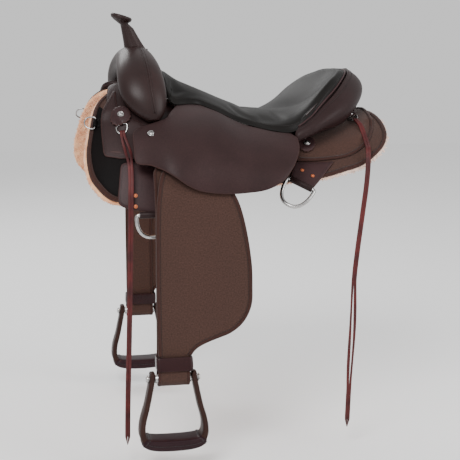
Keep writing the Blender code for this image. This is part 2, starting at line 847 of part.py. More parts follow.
def front_jockey(side):
    outline = outline_of(FRONT_JOCKEY, 2)
    name = f"front_jockey_{word(side)}"
    return sheet(name, outline, BACK, over_bar_in, over_bar_out, side, "leather")


def rear_jockey(side):
    outline = outline_of(REAR_JOCKEY, 2)
    name = f"rear_jockey_{word(side)}"
    return sheet(name, outline, BACK, over_bar_in, over_bar_out, side, "cordura")


# Rigging leathers and their rings
RIGGING_OUTLINE = [
    (-0.270, 0.262), (-0.276, 0.300), (-0.280, 0.332), (-0.273, 0.345), (-0.259, 0.3520),
    (-0.2395, 0.3564, 1), (-0.1866, 0.3564, 1), (-0.1866, 0.310), (-0.188, 0.262, 1),
    (-0.200, 0.2555, 1), (-0.262, 0.2555, 1),
]
RIG_IN = SKIRT_OUT + GAP
RIG_OUT = RIG_IN + RIGGING
RING_X = -0.2128
RING_S = 0.3605
SLEEVE_HALF = 0.0255
FOLD = 0.0024
REAR_LEAN = math.radians(40)  # how far the rear ring rests out of the vertical, on the skirt
REAR_STRAP = [
    (0.108, 0.180, 1), (0.190, 0.198, 1), (0.157, 0.231), (0.1316, 0.2541, 1), (0.0896, 0.2201, 1),
    (0.098, 0.200),
]
REAR_BAR = ((0.0862, 0.2225), (0.1318, 0.2585))


def sleeve_ends(side, which):
    """The two ends of the fold of leather that holds a ring's straight bar."""
    depth = RIG_IN + RING_WIRE + RING_FIT + FOLD
    if which == "front":
        middle = BACK.place(RING_X, RING_S, depth, side)
        return (
            middle - Vector((SLEEVE_HALF, 0, 0)),
            middle + Vector((SLEEVE_HALF, 0, 0)),
        )
    a, b = (BACK.place(x, s, depth, side) for x, s in REAR_BAR)
    middle, run = (a + b) / 2, (b - a).normalized()
    return middle - run * SLEEVE_HALF, middle + run * SLEEVE_HALF


def rigging(side, which):
    """A rigging leather with the sleeve for its ring at the lower edge."""
    outline = outline_of(RIGGING_OUTLINE if which == "front" else REAR_STRAP, 2)
    name = f"{which}_rigging_{word(side)}"
    made = sheet(name, outline, BACK, RIG_IN, RIG_OUT, side, "leather")
    start, end = sleeve_ends(side, which)
    return fold_round(made, start, end, RING_WIRE + RING_FIT, FOLD)


def fold_round(made, start, end, bore, wall):
    """Joins a round fold of leather to a sheet's edge and bores it for a ring's bar."""
    run = (end - start).normalized() * 0.004
    hint = Vector((0.31, 0.52, 0.79))
    rod = wire(f"fold_{made.name}", [start, end], bore + wall, "leather", False, hint, 10)
    drill = wire(f"bore_{made.name}", [start - run, end + run], bore, "leather", False, hint, 8)
    boolean(made, rod, "UNION")
    return boolean(made, drill, "DIFFERENCE")


def dee_points(middle, along, down, half, depth, corner):
    """The centre line of a D: a straight bar, then a round bow below it."""
    made = []
    for k in range(3):
        made.append(middle + along * (half - corner) * (k - 1))
    for k in range(2):
        turn = math.pi / 6 * (k + 1)
        made.append(
            middle
            + along * (half - corner + corner * math.sin(turn))
            + down * (corner - corner * math.cos(turn))
        )
    count = 10
    for k in range(count + 1):
        turn = math.pi * k / count
        flat = abs(math.cos(turn)) ** 0.85 * (1 if math.cos(turn) > 0 else -1)
        made.append(
            middle + along * half * flat + down * (corner + (depth - corner) * math.sin(turn) ** 0.85)
        )
    for k in range(2):
        turn = math.pi / 6 * (2 - k)
        made.append(
            middle
            - along * (half - corner + corner * math.sin(turn))
            + down * (corner - corner * math.cos(turn))
        )
    return made


def rigging_ring(side, which):
    start, end = sleeve_ends(side, which)
    middle, along = (start + end) / 2, (end - start).normalized()
    down = Vector((0, 0, -1))
    down = (down - down.dot(along) * along).normalized()
    lean = REAR_LEAN if which == "rear" else 0.0
    out = Vector((0, side, 0))
    out = (out - out.dot(along) * along - out.dot(down) * down).normalized()
    down = math.cos(lean) * down + math.sin(lean) * out
    points = dee_points(middle, along, down, RING_HALF, RING_DEPTH[which], RING_CORNER)
    hint = along.cross(down)
    name = f"{which}_ring_{word(side)}"
    return wire(name, points, RING_WIRE, "steel", True, hint, 8, tuple(middle))


# Scalloped rosettes
def rosette(side, name, x, s, radius, low, high):
    outline = []
    for k in range(32):
        turn = 2 * math.pi * k / 32
        reach = radius * (1 + 0.05 * math.cos(turn * 8))
        outline.append((x + reach * math.cos(turn), s + reach * math.sin(turn)))
    return sheet(name, outline, BACK, low, high, side, "leather")


FRONT_ROSETTE = (-0.263, 0.153, 0.0205)
REAR_ROSETTE = (0.137, 0.140, 0.0170)
DEE_WIRE = 0.0015
ROSETTE = 0.004


def front_rosette(side):
    lift = 2 * DEE_WIRE + 2 * GAP
    return rosette(
        side,
        f"front_rosette_{word(side)}",
        *FRONT_ROSETTE,
        lambda x, s: over_bar_out(x, s) + lift,
        lambda x, s: over_bar_out(x, s) + lift + ROSETTE,
    )


def rear_rosette(side):
    return rosette(
        side,
        f"rear_rosette_{word(side)}",
        *REAR_ROSETTE,
        lambda x, s: over_bar_out(x, s) + GAP,
        lambda x, s: over_bar_out(x, s) + GAP + ROSETTE,
    )


# Small dees that carry the strings
STRING_DEES = {"front": (-0.262, 0.171, 0.0125), "rear": (0.260, 0.076, 0.0105)}


def string_dee(side, which):
    x, s, half = STRING_DEES[which]
    points = dee_points(
        Vector((x, s, 0)), Vector((1, 0, 0)), Vector((0, 1, 0)), half, 0.023, 0.004
    )
    lift = DEE_WIRE + GAP
    placed = [
        BACK.place(p.x, p.y, lambda a, b: over_bar_out(a, b) + lift, side) for p in points
    ]
    hint = Vector((0, side * 0.6, 0.8))
    name = f"{which}_string_dee_{word(side)}"
    return wire(name, placed, DEE_WIRE, "steel", True, hint, 6)


# Breast collar dees at the front edge of the skirts
BREAST_BAR = ((-0.3120, 0.130), (-0.3185, 0.162))
BREAST_WIRE = 0.0017
BREAST_HALF = 0.0150
BREAST_DEPTH = 0.022
BREAST_FIT = 0.0006
TAB = 0.0020


def breast_ends(side, half):
    depth = SKIRT_OUT + 2 * GAP + TAB + BREAST_FIT + BREAST_WIRE
    a, b = (BACK.place(x, s, depth, side) for x, s in BREAST_BAR)
    middle, run = (a + b) / 2, (b - a).normalized()
    return middle - run * half, middle + run * half


def breast_tab(side):
    """The little leather fold, stitched to the skirt, that holds the dee's bar."""
    x, s = ((BREAST_BAR[0][k] + BREAST_BAR[1][k]) / 2 for k in (0, 1))
    corners = [(0.001, -0.009, 1), (0.001, 0.009, 1), (0.024, 0.012), (0.024, -0.012)]
    outline = outline_of([(x + c[0], s + c[1], *c[2:]) for c in corners], 2)
    name = f"breast_tab_{word(side)}"
    low = SKIRT_OUT + GAP
    made = sheet(name, outline, BACK, low, low + TAB, side, "leather")
    start, end = breast_ends(side, 0.009)
    return fold_round(made, start, end, BREAST_WIRE + BREAST_FIT, TAB)


def breast_dee(side):
    start, end = breast_ends(side, BREAST_HALF)
    middle, along = (start + end) / 2, (end - start).normalized()
    ahead = Vector((-1, 0, 0))
    ahead = (ahead - ahead.dot(along) * along).normalized()
    points = dee_points(middle, along, ahead, BREAST_HALF, BREAST_DEPTH, 0.004)
    name = f"breast_dee_{word(side)}"
    return wire(name, points, BREAST_WIRE, "steel", True, along.cross(ahead), 6, tuple(middle))


# Fenders and stirrup leathers
FENDER_OUTLINE = [
    (-0.1860, -0.0315), (-0.1965, -0.0465), (-0.2035, -0.075), (-0.2075, -0.116), (-0.209, -0.235),
    (-0.2085, -0.360), (-0.2065, -0.424, 1), (-0.1415, -0.426, 1), (-0.1415, -0.417, 1),
    (-0.132, -0.404), (-0.118, -0.3945), (-0.098, -0.386), (-0.078, -0.379), (-0.058, -0.3715),
    (-0.037, -0.3565), (-0.022, -0.336), (-0.013, -0.310), (-0.012, -0.277), (-0.0135, -0.230),
    (-0.021, -0.176), (-0.032, -0.126), (-0.045, -0.090), (-0.060, -0.070), (-0.090, -0.054),
    (-0.130, -0.041), (-0.162, -0.0335),
]
# How far out the fender's inner face is at each height, where it leans in over the leather
FENDER_LEAN = [
    (-0.105, FENDER_Y), (-0.085, FENDER_Y - 0.0015), (-0.068, FENDER_Y - 0.007),
    (-0.050, FENDER_Y - 0.015), (-0.024, FENDER_Y - 0.031),
]
# The stirrup leather's line: how far out between the hanger and the fender, and the height
LEATHER_TURN = [
    (0.0, 0.0490), (0.202, 0.0345), (0.412, 0.0130), (0.623, -0.0140), (0.808, -0.0430),
    (0.934, -0.0750), (0.998, -0.1100), (1.0, -0.1500), (1.0, -0.3850),
]
# Then its two runs near the bolt: how far from the stirrup's middle, and the height
LEATHER_DOWN = [(-0.0095, -0.4250), (-0.0132, -0.4500)]
LEATHER_UP = [(0.0128, -0.4480), (0.0085, -0.4280), (0.0066, -0.4060)]
LOOP_R = 0.0135
LEATHER_X = (-0.2095, -0.1450)
LEATHER_TOP_X = -0.1885  # the strap is narrower under the screwed-down front of the jockey
LEATHER_WIDENS = (0.085, 0.130)


def leather_profile():
    """Centre line of the stirrup leather in half width and height, round the bolt and up again."""
    start = HINGE_Y - 0.018
    hang = FENDER_Y - STRAP / 2 - STRAP_FIT
    path = [Vector((start + share * (hang - start), z)) for share, z in LEATHER_TURN]
    path += [Vector((STIRRUP_Y + out, z)) for out, z in LEATHER_DOWN]
    for k in range(9):
        turn = math.pi * k / 8
        path.append(Vector((STIRRUP_Y - LOOP_R * math.cos(turn), BOLT_Z - LOOP_R * math.sin(turn))))
    return path + [Vector((STIRRUP_Y + out, z)) for out, z in LEATHER_UP]


def stirrup_leather(side):
    path = leather_profile()
    across, length = [], [0.0]
    for i, here in enumerate(path):
        run = path[min(i + 1, len(path) - 1)] - path[max(i - 1, 0)]
        run.normalize()
        across.append(Vector((-run.y, run.x)))
        if i:
            length.append(length[-1] + (here - path[i - 1]).length)

    def place(x, l, depth):
        y, z = (np.interp(l, length, [p[k] for p in path]) for k in (0, 1))
        ny, nz = (np.interp(l, length, [p[k] for p in across]) for k in (0, 1))
        return Vector((x, side * (y + depth * ny), z + depth * nz))

    front, rear = LEATHER_X
    start, wide = LEATHER_WIDENS
    end = length[-1]
    outline = [(LEATHER_TOP_X, 0), (LEATHER_TOP_X, start), (front, wide), (front, end)]
    outline += [(rear, end), (rear, 0)]
    bends = [((front - 0.01, l), (rear + 0.01, l)) for l in length[1:-1]]
    flat, faces = cut_flat(outline, bends)
    return thick_sheet(
        f"stirrup_leather_{word(side)}",
        flat,
        faces,
        lambda x, l: place(x, l, -STRAP / 2),
        lambda x, l: place(x, l, STRAP / 2),
        "leather",
        (HANGER_X, side * HINGE_Y, HANGER_Z),
    )


def hanger(side):
    """The round bar under the leather's upper end, on the line that the fender swings about."""
    ends = (HINGE_Y - 0.022, HINGE_Y - 0.001)
    points = [Vector((HANGER_X, side * y, HANGER_Z)) for y in ends]
    pivot = (0, side * HINGE_Y, HINGE_Z)
    name = f"leather_hanger_{word(side)}"
    return wire(name, points, HANGER_R, "steel", False, Vector((0, 0, 1)), 10, pivot)


def fender(side):
    pivot = (HANGER_X, side * HINGE_Y, HANGER_Z)
    outline = outline_of(FENDER_OUTLINE, 2)
    bends = [((-0.25, z), (0.02, z)) for z, _ in FENDER_LEAN]
    flat, faces = cut_flat(outline, bends)

    def place(x, z, depth):
        return Vector((x, side * (keys(z, FENDER_LEAN) + depth), z))

    name = f"fender_{word(side)}"
    return thick_sheet(
        name, flat, faces, lambda x, z: place(x, z, 0), lambda x, z: place(x, z, FENDER), "cordura", pivot
    )


def box_ring(x_low, x_high, y_low, y_high, z, round_by, side):
    made = []
    corners = ((x_high, y_high, 0), (x_low, y_high, 1), (x_low, y_low, 2), (x_high, y_low, 3))
    for x, y, quarter in corners:
        cx = x - round_by if x == x_high else x + round_by
        cy = y - round_by if y == y_high else y + round_by
        for k in range(3):
            turn = math.pi / 2 * quarter + math.pi / 4 * k
            made.append(
                Vector((cx + round_by * math.cos(turn), side * (cy + round_by * math.sin(turn)), z))
            )
    return made


HOBBLE = 0.0025
HOBBLE_Z = (-0.4435, -0.4165)


def hobble_strap(side):
    """The keeper that buckles round the leather just above the stirrup."""
    rows = []
    for wall, corner in ((HOBBLE, 0.006), (0, 0.0035)):
        front, rear = LEATHER_X[0] - 0.001 - wall, LEATHER_X[1] + 0.0055 + wall
        low, high = STIRRUP_Y - 0.0185 - wall, STIRRUP_Y + 0.0165 + wall
        rows.append([box_ring(front, rear, low, high, z, corner, side) for z in HOBBLE_Z])
    outer, inner = rows
    pivot = (HANGER_X, side * HINGE_Y, HANGER_Z)
    return shell(f"hobble_strap_{word(side)}", outer, inner, "leather", pivot)


# Stirrups; half of the centre line: distance from the middle, height, thickness, depth
STIRRUP = [
    (0.0435, -0.4495, 0.0105, 0.024),
    (0.0440, -0.4620, 0.0110, 0.028),
    (0.0545, -0.5150, 0.0110, 0.034),
    (0.0625, -0.5450, 0.0115, 0.039),
    (0.0655, -0.5650, 0.0120, 0.042),
    (0.0640, -0.5820, 0.0140, 0.045),
    (0.0550, -0.5940, 0.0170, 0.048),
    (0.0380, -0.5985, 0.0190, 0.050),
    (0.0150, -0.6000, 0.0200, 0.050),
]


def stirrup_rings(side, grow=0.0):
    """Rounded rectangular rings along the stirrup's line."""
    rows = mirrored_rows(STIRRUP)
    centres = [Vector((STIRRUP_X + x, side * STIRRUP_Y, z)) for x, z, _, _ in rows]
    rings = []
    for i, (_, _, thick, deep) in enumerate(rows):
        run = centres[min(i + 1, len(rows) - 1)] - centres[max(i - 1, 0)]
        run.normalize()
        across = Vector((-run.z, 0, run.x))
        out = Vector((0, 1, 0))
        h, d = thick / 2 + grow, deep / 2 + grow
        cut = min(h, d) * 0.45
        corners = [
            (h, d - cut), (h - cut, d), (-h + cut, d), (-h, d - cut),
            (-h, -d + cut), (-h + cut, -d), (h - cut, -d), (h, -d + cut),
        ]
        rings.append([centres[i] + a * across + b * out for a, b in corners])
    return rings


def mirrored_rows(rows):
    return [(-x, z, t, d) for x, z, t, d in rows] + [(x, z, t, d) for x, z, t, d in reversed(rows)]


def stirrup_frame(side):
    pivot = (STIRRUP_X, side * STIRRUP_Y, BOLT_Z)
    name = f"stirrup_frame_{word(side)}"
    made = loft(name, stirrup_rings(side), "leather", pivot)
    hole = BOLT_R + BOLT_FIT
    ends = [(STIRRUP_X - 0.06, hole), (STIRRUP_X + 0.06, hole)]
    drill = spindle(f"drill_{name}", ends, (0, side * STIRRUP_Y, BOLT_Z), "steel")
    return boolean(made, drill, "DIFFERENCE")


def tread_cover(side):
    pivot = (STIRRUP_X, side * STIRRUP_Y, BOLT_Z)
    outer = stirrup_rings(side, 0.0040)[5:-5]
    inner = stirrup_rings(side, 0.0004)[5:-5]
    return shell(f"tread_cover_{word(side)}", outer, inner, "leather", pivot)


def stirrup_bolt(side):
    """The bolt through both arms, with the spacer that the leather runs round."""
    face = 0.0515
    steps = [
        (-face - 0.0050, 0.0060), (-face - 0.0035, 0.0080), (-face - 0.0006, 0.0080),
        (-face - 0.0006, BOLT_R), (-0.0375, BOLT_R), (-0.0375, SPACER_R), (0.0375, SPACER_R),
        (0.0375, BOLT_R), (face + 0.0006, BOLT_R), (face + 0.0006, 0.0080),
        (face + 0.0035, 0.0080), (face + 0.0050, 0.0060),
    ]
    steps = [(STIRRUP_X + x, r) for x, r in steps]
    pivot = (STIRRUP_X, side * STIRRUP_Y, BOLT_Z)
    name = f"stirrup_bolt_{word(side)}"
    return spindle(name, steps, (0, side * STIRRUP_Y, BOLT_Z), "steel", pivot)


# The near side's saddle strings: first points lie on the jockeys, the rest hang
STRING_START = {
    "front": [(-0.262, 0.201), (-0.258, 0.214), (-0.2545, 0.232)],
    "rear": [(0.260, 0.106), (0.264, 0.130), (0.267, 0.155), (0.266, 0.180)],
}
STRING_HANG = {
    "front": [
        (-0.2535, 0.236, -0.020), (-0.2535, 0.252, -0.052), (-0.2555, 0.264, -0.085),
        (-0.2565, 0.2685, -0.125), (-0.2585, 0.2685, -0.200), (-0.2630, 0.2665, -0.364),
        (-0.2680, 0.2640, -0.520), (-0.2700, 0.2635, -0.613),
    ],
    "rear": [
        (0.261, 0.208, -0.008), (0.257, 0.222, -0.042), (0.252, 0.228, -0.085),
        (0.245, 0.229, -0.140), (0.234, 0.229, -0.230), (0.228, 0.229, -0.300),
        (0.226, 0.229, -0.420), (0.221, 0.229, -0.530), (0.218, 0.229, -0.624),
    ],
}


def string_route(side, which):
    lift = STRING_R + 0.0008

    def depth(x, s):
        return over_bar_out(x, s) + lift

    points = [BACK.place(x, s, depth, side) for x, s in STRING_START[which]]
    points += [Vector((x, side * y, z)) for x, y, z in STRING_HANG[which]]
    return route_of(points, 3 * 2 * STRING_R)


def saddle_string(side, which):
    name = f"{which}_string_{word(side)}"
    curve = bpy.data.curves.new(name, "CURVE")
    curve.dimensions = "3D"
    curve.bevel_depth = STRING_R
    curve.bevel_resolution = 2
    curve.use_fill_caps = True
    route = string_route(side, which)
    line = curve.splines.new("POLY")
    line.points.add(len(route) - 1)
    for spot, here in zip(line.points, route):
        spot.co = (*here, 1.0)
    curve.materials.append(material_for(name, "latigo"))
    made = bpy.data.objects.new(name, curve)
    bpy.context.scene.collection.objects.link(made)
    return made


def build():
    clear_scene()
    fork()
    swell_cover()
    horn_cover()
    horn_core()
    tree_cantle()
    ground_seat()
    seat()
    cantle_cover()
    for side in (-1, 1):
        tree_bar(side)
        skirt(side)
        fleece(side)
        seat_jockey(side)
        jockey_flap(side)
        front_jockey(side)
        rear_jockey(side)
        front_rosette(side)
        rear_rosette(side)
        breast_tab(side)
        breast_dee(side)
        hanger(side)
        stirrup_leather(side)
        fender(side)
        hobble_strap(side)
        stirrup_frame(side)
        tread_cover(side)
        stirrup_bolt(side)
        for which in ("front", "rear"):
            rigging(side, which)
            rigging_ring(side, which)
            string_dee(side, which)
    for which in ("front", "rear"):
        saddle_string(-1, which)


build()
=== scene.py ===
# %% [markdown]
# A gaited trail saddle, dressed over its frame
#
# The frame gives the solid of every part in its true place. This file covers those solids with
# what the eye sees: smooth leather, woven nylon, wool fleece, red laces and nickel.
# X runs from the horse's head (minus) to its tail (plus), minus Y is the near (left) side, Z is up.

# %% Load the frame
import math

import bmesh
import bpy
import numpy as np
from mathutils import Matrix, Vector
from mathutils.bvhtree import BVHTree
from mathutils.geometry import delaunay_2d_cdt


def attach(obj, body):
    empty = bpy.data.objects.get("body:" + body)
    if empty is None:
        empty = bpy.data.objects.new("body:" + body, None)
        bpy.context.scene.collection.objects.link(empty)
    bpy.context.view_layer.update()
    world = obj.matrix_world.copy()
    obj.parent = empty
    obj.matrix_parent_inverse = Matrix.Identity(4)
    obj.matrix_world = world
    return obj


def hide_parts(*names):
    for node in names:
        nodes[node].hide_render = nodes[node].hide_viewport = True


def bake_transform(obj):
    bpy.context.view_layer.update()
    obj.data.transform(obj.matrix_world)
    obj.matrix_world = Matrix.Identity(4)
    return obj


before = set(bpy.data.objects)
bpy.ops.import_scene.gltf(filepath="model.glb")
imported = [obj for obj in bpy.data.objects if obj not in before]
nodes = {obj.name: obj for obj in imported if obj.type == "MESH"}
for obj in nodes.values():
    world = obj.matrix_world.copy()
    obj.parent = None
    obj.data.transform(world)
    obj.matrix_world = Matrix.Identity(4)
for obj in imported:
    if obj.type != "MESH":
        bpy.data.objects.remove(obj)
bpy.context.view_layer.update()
SIDES = (("near", -1), ("far", 1))
print("parts in the frame:", len(nodes))

# %% [markdown]
# The camera stands where the photographer stood: a little ahead of the saddle's near side and
# ten degrees above it. Its place was fitted, which also gave the scale. The lens is long, so the
# saddle is hardly distorted.

# %% Camera
AZIMUTH = math.radians(-11)
ELEVATION = math.radians(10)
DISTANCE = 2.7
TARGET = Vector((0, 0, -0.21))
LENS_PIXELS = 1174
FRAME_PIXELS = 460


def new_object(name, data):
    """An object in the scene."""
    made = bpy.data.objects.new(name, data)
    bpy.context.scene.collection.objects.link(made)
    return made


def set_camera():
    """The photographer's camera, looking at the middle of the saddle."""
    level = math.cos(ELEVATION)
    out = Vector((math.sin(AZIMUTH) * level, -math.cos(AZIMUTH) * level, math.sin(ELEVATION)))
    data = bpy.data.cameras.new("camera")
    data.sensor_width = 36
    data.lens = LENS_PIXELS / FRAME_PIXELS * data.sensor_width
    camera = new_object("camera", data)
    camera.location = TARGET + DISTANCE * out
    camera.rotation_euler = (-out).to_track_quat("-Z", "Y").to_euler()
    bpy.context.scene.camera = camera
    return camera


camera = set_camera()
print("camera at", [round(v, 3) for v in camera.location])

# %% [markdown]
# Materials are small networks of nodes. They can be drawn in the node editor, but written out
# they can be read and repeated. These helpers keep each network short: one adds a node and fills
# its sockets, others mix two colours, stretch a range of values or raise the surface.


# %% Node helpers
def give(tree, socket, value):
    """Fills a socket with a value, or joins it to another node's output."""
    if isinstance(value, bpy.types.NodeSocket):
        tree.links.new(value, socket)
    else:
        socket.default_value = value


def add(tree, kind, **sockets):
    """A new node with its sockets filled."""
    made = tree.nodes.new(kind)
    for name, value in sockets.items():
        give(tree, made.inputs[name], value)
    return made


def noise(tree, place, scale, detail):
    """Cloudy values between 0 and 1."""
    return add(tree, "ShaderNodeTexNoise", Vector=place, Scale=scale, Detail=detail).outputs["Fac"]


def maths(tree, operation, a, b=0.0):
    """The sum, product or other result of two values."""
    made = tree.nodes.new("ShaderNodeMath")
    made.operation = operation
    for socket, value in zip(made.inputs, (a, b)):
        give(tree, socket, value)
    return made.outputs[0]


def mixed(tree, share, first, second):
    """A colour between two others."""
    made = tree.nodes.new("ShaderNodeMix")
    made.data_type = "RGBA"
    for name, value in (("Factor", share), ("A", first), ("B", second)):
        socket = next(s for s in made.inputs if s.name == name and s.enabled)
        give(tree, socket, (*value, 1.0) if isinstance(value, tuple) else value)
    return next(s for s in made.outputs if s.enabled)


def spread(tree, value, low, high, to_low=0.0, to_high=1.0):
    """The value stretched from one range to another and held there."""
    made = add(tree, "ShaderNodeMapRange", Value=value)
    made.clamp = True
    for name, number in (("From Min", low), ("From Max", high), ("To Min", to_low), ("To Max", to_high)):
        made.inputs[name].default_value = number
    return made.outputs[0]


def relief(tree, shader, height, strength, distance):
    """Makes a surface look raised where the height is large."""
    bump = add(tree, "ShaderNodeBump", Height=height, Strength=strength, Distance=distance)
    tree.links.new(bump.outputs[0], shader.inputs["Normal"])


def new_material(name, rough, metal=0.0, **settings):
    """A material, its network and its shader."""
    made = bpy.data.materials.new(name)
    made.use_nodes = True
    shader = made.node_tree.nodes["Principled BSDF"]
    shader.inputs["Roughness"].default_value = rough
    shader.inputs["Metallic"].default_value = metal
    for key, value in settings.items():
        shader.inputs[key.replace("_", " ")].default_value = value
    return made, made.node_tree, shader


def linear(*srgb):
    """A colour read from 0 to 255, as linear light."""
    return tuple((v / 255 / 12.92) if v < 11 else ((v / 255 + 0.055) / 1.055) ** 2.4 for v in srgb)


print("leather brown as linear light:", [round(v, 3) for v in linear(41, 26, 26)])


# %% [markdown]
# Leather is a smooth brown skin with a fine grain, a soft cloudiness in its dye and a paler cut
# edge. Every leather piece carries an "edge" value, its distance from the cut, so that the
# burnished rim follows the outline of the piece and not the camera. A picture of leather would
# show its seams and repeat; noise in space has neither fault.


# %% Leather
def leather(name, dye, pale, rough, grain, rim=None, shine=0.14):
    """Smooth leather: its dye and the paler tone in its clouds, its roughness, grain and cut rim."""
    made, tree, shader = new_material(
        name, rough, Coat_Weight=shine * 0.15, Coat_Roughness=0.30, Specular_IOR_Level=shine
    )
    place = add(tree, "ShaderNodeTexCoord").outputs["Object"]
    cloud = noise(tree, place, 11.0, 3.0)
    pores = noise(tree, place, 420.0, 3.0)
    cells = add(tree, "ShaderNodeTexVoronoi", Vector=place, Scale=620.0)
    colour = mixed(tree, spread(tree, cloud, 0.34, 0.68), dye, pale)
    speck = spread(tree, pores, 0.40, 0.62, 0.0, 0.35)
    colour = mixed(tree, speck, colour, tuple(c * 0.62 for c in dye))
    if rim:
        edge = add(tree, "ShaderNodeAttribute")
        edge.attribute_name = "edge"
        near_cut = spread(tree, edge.outputs["Fac"], 0.0, 0.0020, 0.6, 0.0)
        colour = mixed(tree, near_cut, colour, rim)
    tree.links.new(colour, shader.inputs["Base Color"])
    uneven = maths(tree, "MULTIPLY", cloud, 0.16)
    fine = maths(tree, "MULTIPLY", pores, 0.14)
    worn = maths(tree, "ADD", maths(tree, "ADD", uneven, fine), rough - 0.15)
    tree.links.new(worn, shader.inputs["Roughness"])
    height = maths(tree, "ADD", cells.outputs["Distance"], pores)
    relief(tree, shader, height, grain, 0.00025)
    return made


BROWN = linear(41, 26, 26)
BROWN_PALE = linear(50, 33, 33)
RIM = linear(66, 43, 39)
body_leather = leather("saddle_leather", BROWN, BROWN_PALE, 0.52, 0.35, RIM)
swell_leather = leather("swell_leather", linear(35, 21, 20), linear(44, 28, 27), 0.42, 0.25, shine=0.20)
back_leather = leather("plain_leather", linear(35, 22, 22), linear(43, 28, 28), 0.48, 0.30)
dark_leather = leather("dark_leather", linear(50, 33, 34), linear(60, 41, 42), 0.44, 0.30, RIM)
seat_leather = leather("seat_leather", linear(13, 11, 10), linear(21, 18, 16), 0.48, 0.45, shine=0.13)
stirrup_leather = leather("stirrup_leather", linear(41, 22, 18), linear(52, 31, 25), 0.46, 0.30)
black_leather = leather("black_leather", linear(9, 6, 6), linear(15, 10, 10), 0.62, 0.30, shine=0.06)
hobble_leather = leather("hobble_leather", linear(34, 14, 16), linear(45, 22, 23), 0.30, 0.15, shine=0.18)
tread_leather = leather("tread_leather", linear(34, 18, 22), linear(46, 27, 31), 0.36, 0.30)
print("leathers:", len(bpy.data.materials))

# %% [markdown]
# The skirts, fenders and rear jockeys are heavy woven nylon. A weave is two waves at right angles
# on the flat pattern of the piece, so its threads follow the cut and bend with the cloth. Waves
# need no picture and stay sharp from near.


# %% Woven nylon
THREAD = 0.0011
FINE_THREAD = 0.0007


def woven(name, dark, light, thread):
    """Nylon webbing, its threads painted lighter where they rise: a painted highlight on their crowns."""
    made, tree, shader = new_material(
        name, 0.82, Sheen_Weight=0.12, Sheen_Roughness=0.5, Specular_IOR_Level=0.2
    )
    flat = add(tree, "ShaderNodeUVMap")
    flat.uv_map = "flat"
    parts = add(tree, "ShaderNodeSeparateXYZ", Vector=flat.outputs[0])
    waves = []
    for axis in "XY":
        turn = maths(tree, "MULTIPLY", parts.outputs[axis], math.pi / thread)
        waves.append(maths(tree, "SINE", turn))
    checks = maths(tree, "MULTIPLY", waves[0], waves[1])
    threads = maths(tree, "ABSOLUTE", checks)
    slubs = noise(tree, flat.outputs[0], 330.0, 3.0)
    broad = noise(tree, flat.outputs[0], 9.0, 2.0)
    tone = maths(tree, "MULTIPLY", spread(tree, slubs, 0.30, 0.70), 0.52)
    # Painted highlight: the rising crowns of the threads are lighter in colour.
    tone = maths(tree, "ADD", tone, maths(tree, "MULTIPLY", threads, 0.28))
    tone = maths(tree, "ADD", tone, maths(tree, "MULTIPLY", broad, 0.16))
    tree.links.new(mixed(tree, tone, dark, light), shader.inputs["Base Color"])
    height = maths(tree, "ADD", threads, maths(tree, "MULTIPLY", slubs, 0.7))
    relief(tree, shader, height, 0.55, 0.0003)
    return made


nylon = woven("woven_nylon", linear(38, 24, 20), linear(78, 52, 43), THREAD)
binding = woven("nylon_binding", linear(36, 18, 15), linear(64, 35, 27), FINE_THREAD)
print("threads to the centimetre:", round(0.01 / THREAD))

# %% [markdown]
# The rest: wool fleece with its pale tips, oiled red latigo with fibres along the lace, nickel
# plate with hairline wear, copper rivets, waxed thread and the wood of the tree.


# %% Fleece, latigo, metal, thread and wood
def fleece_wool():
    """Wool, warm and deep in front and paler towards the tail."""
    made, tree, shader = new_material("fleece_wool", 0.95, Sheen_Weight=0.5, Sheen_Roughness=0.6)
    place = add(tree, "ShaderNodeTexCoord").outputs["Object"]
    locks = noise(tree, place, 70.0, 4.0)
    fibres = noise(tree, place, 600.0, 3.0)
    tint = spread(tree, locks, 0.35, 0.65)
    colour = mixed(tree, tint, linear(216, 142, 94), linear(246, 190, 140))
    where = add(tree, "ShaderNodeSeparateXYZ", Vector=place)
    tail = spread(tree, where.outputs["X"], 0.0, 0.2, 0.0, 0.75)
    colour = mixed(tree, tail, colour, linear(240, 220, 210))
    # Painted shade: darker flecks deep in the pile, between the fibres.
    shade = spread(tree, fibres, 0.35, 0.6, 0.30, 0.0)
    tree.links.new(mixed(tree, shade, colour, linear(188, 132, 98)), shader.inputs["Base Color"])
    height = maths(tree, "ADD", fibres, locks)
    relief(tree, shader, height, 0.8, 0.001)
    return made


def latigo_lace():
    """Oiled red leather with fibres along the lace."""
    made, tree, shader = new_material("red_latigo", 0.50, Specular_IOR_Level=0.3)
    flat = add(tree, "ShaderNodeUVMap")
    flat.uv_map = "flat"
    stretch = add(tree, "ShaderNodeMapping", Vector=flat.outputs[0])
    stretch.inputs["Scale"].default_value = (60, 900, 1)
    fibres = noise(tree, stretch.outputs[0], 1.0, 4.0)
    place = add(tree, "ShaderNodeTexCoord").outputs["Object"]
    cloud = noise(tree, place, 26.0, 3.0)
    tint = spread(tree, cloud, 0.35, 0.65)
    colour = mixed(tree, tint, linear(56, 15, 16), linear(88, 27, 26))
    streak = spread(tree, fibres, 0.42, 0.62, 0.0, 0.4)
    tree.links.new(mixed(tree, streak, colour, linear(46, 14, 17)), shader.inputs["Base Color"])
    relief(tree, shader, fibres, 0.3, 0.0003)
    return made


def metal(name, colour, dull, rough):
    """Metal with duller patches and hairline wear."""
    made, tree, shader = new_material(name, rough, 1.0)
    place = add(tree, "ShaderNodeTexCoord").outputs["Object"]
    haze = noise(tree, place, 90.0, 4.0)
    hair = noise(tree, place, 900.0, 2.0)
    share = spread(tree, haze, 0.4, 0.7)
    tree.links.new(mixed(tree, share, colour, dull), shader.inputs["Base Color"])
    hazy = spread(tree, haze, 0.3, 0.7, rough - 0.07, rough + 0.12)
    tree.links.new(hazy, shader.inputs["Roughness"])
    relief(tree, shader, hair, 0.12, 0.0001)
    return made


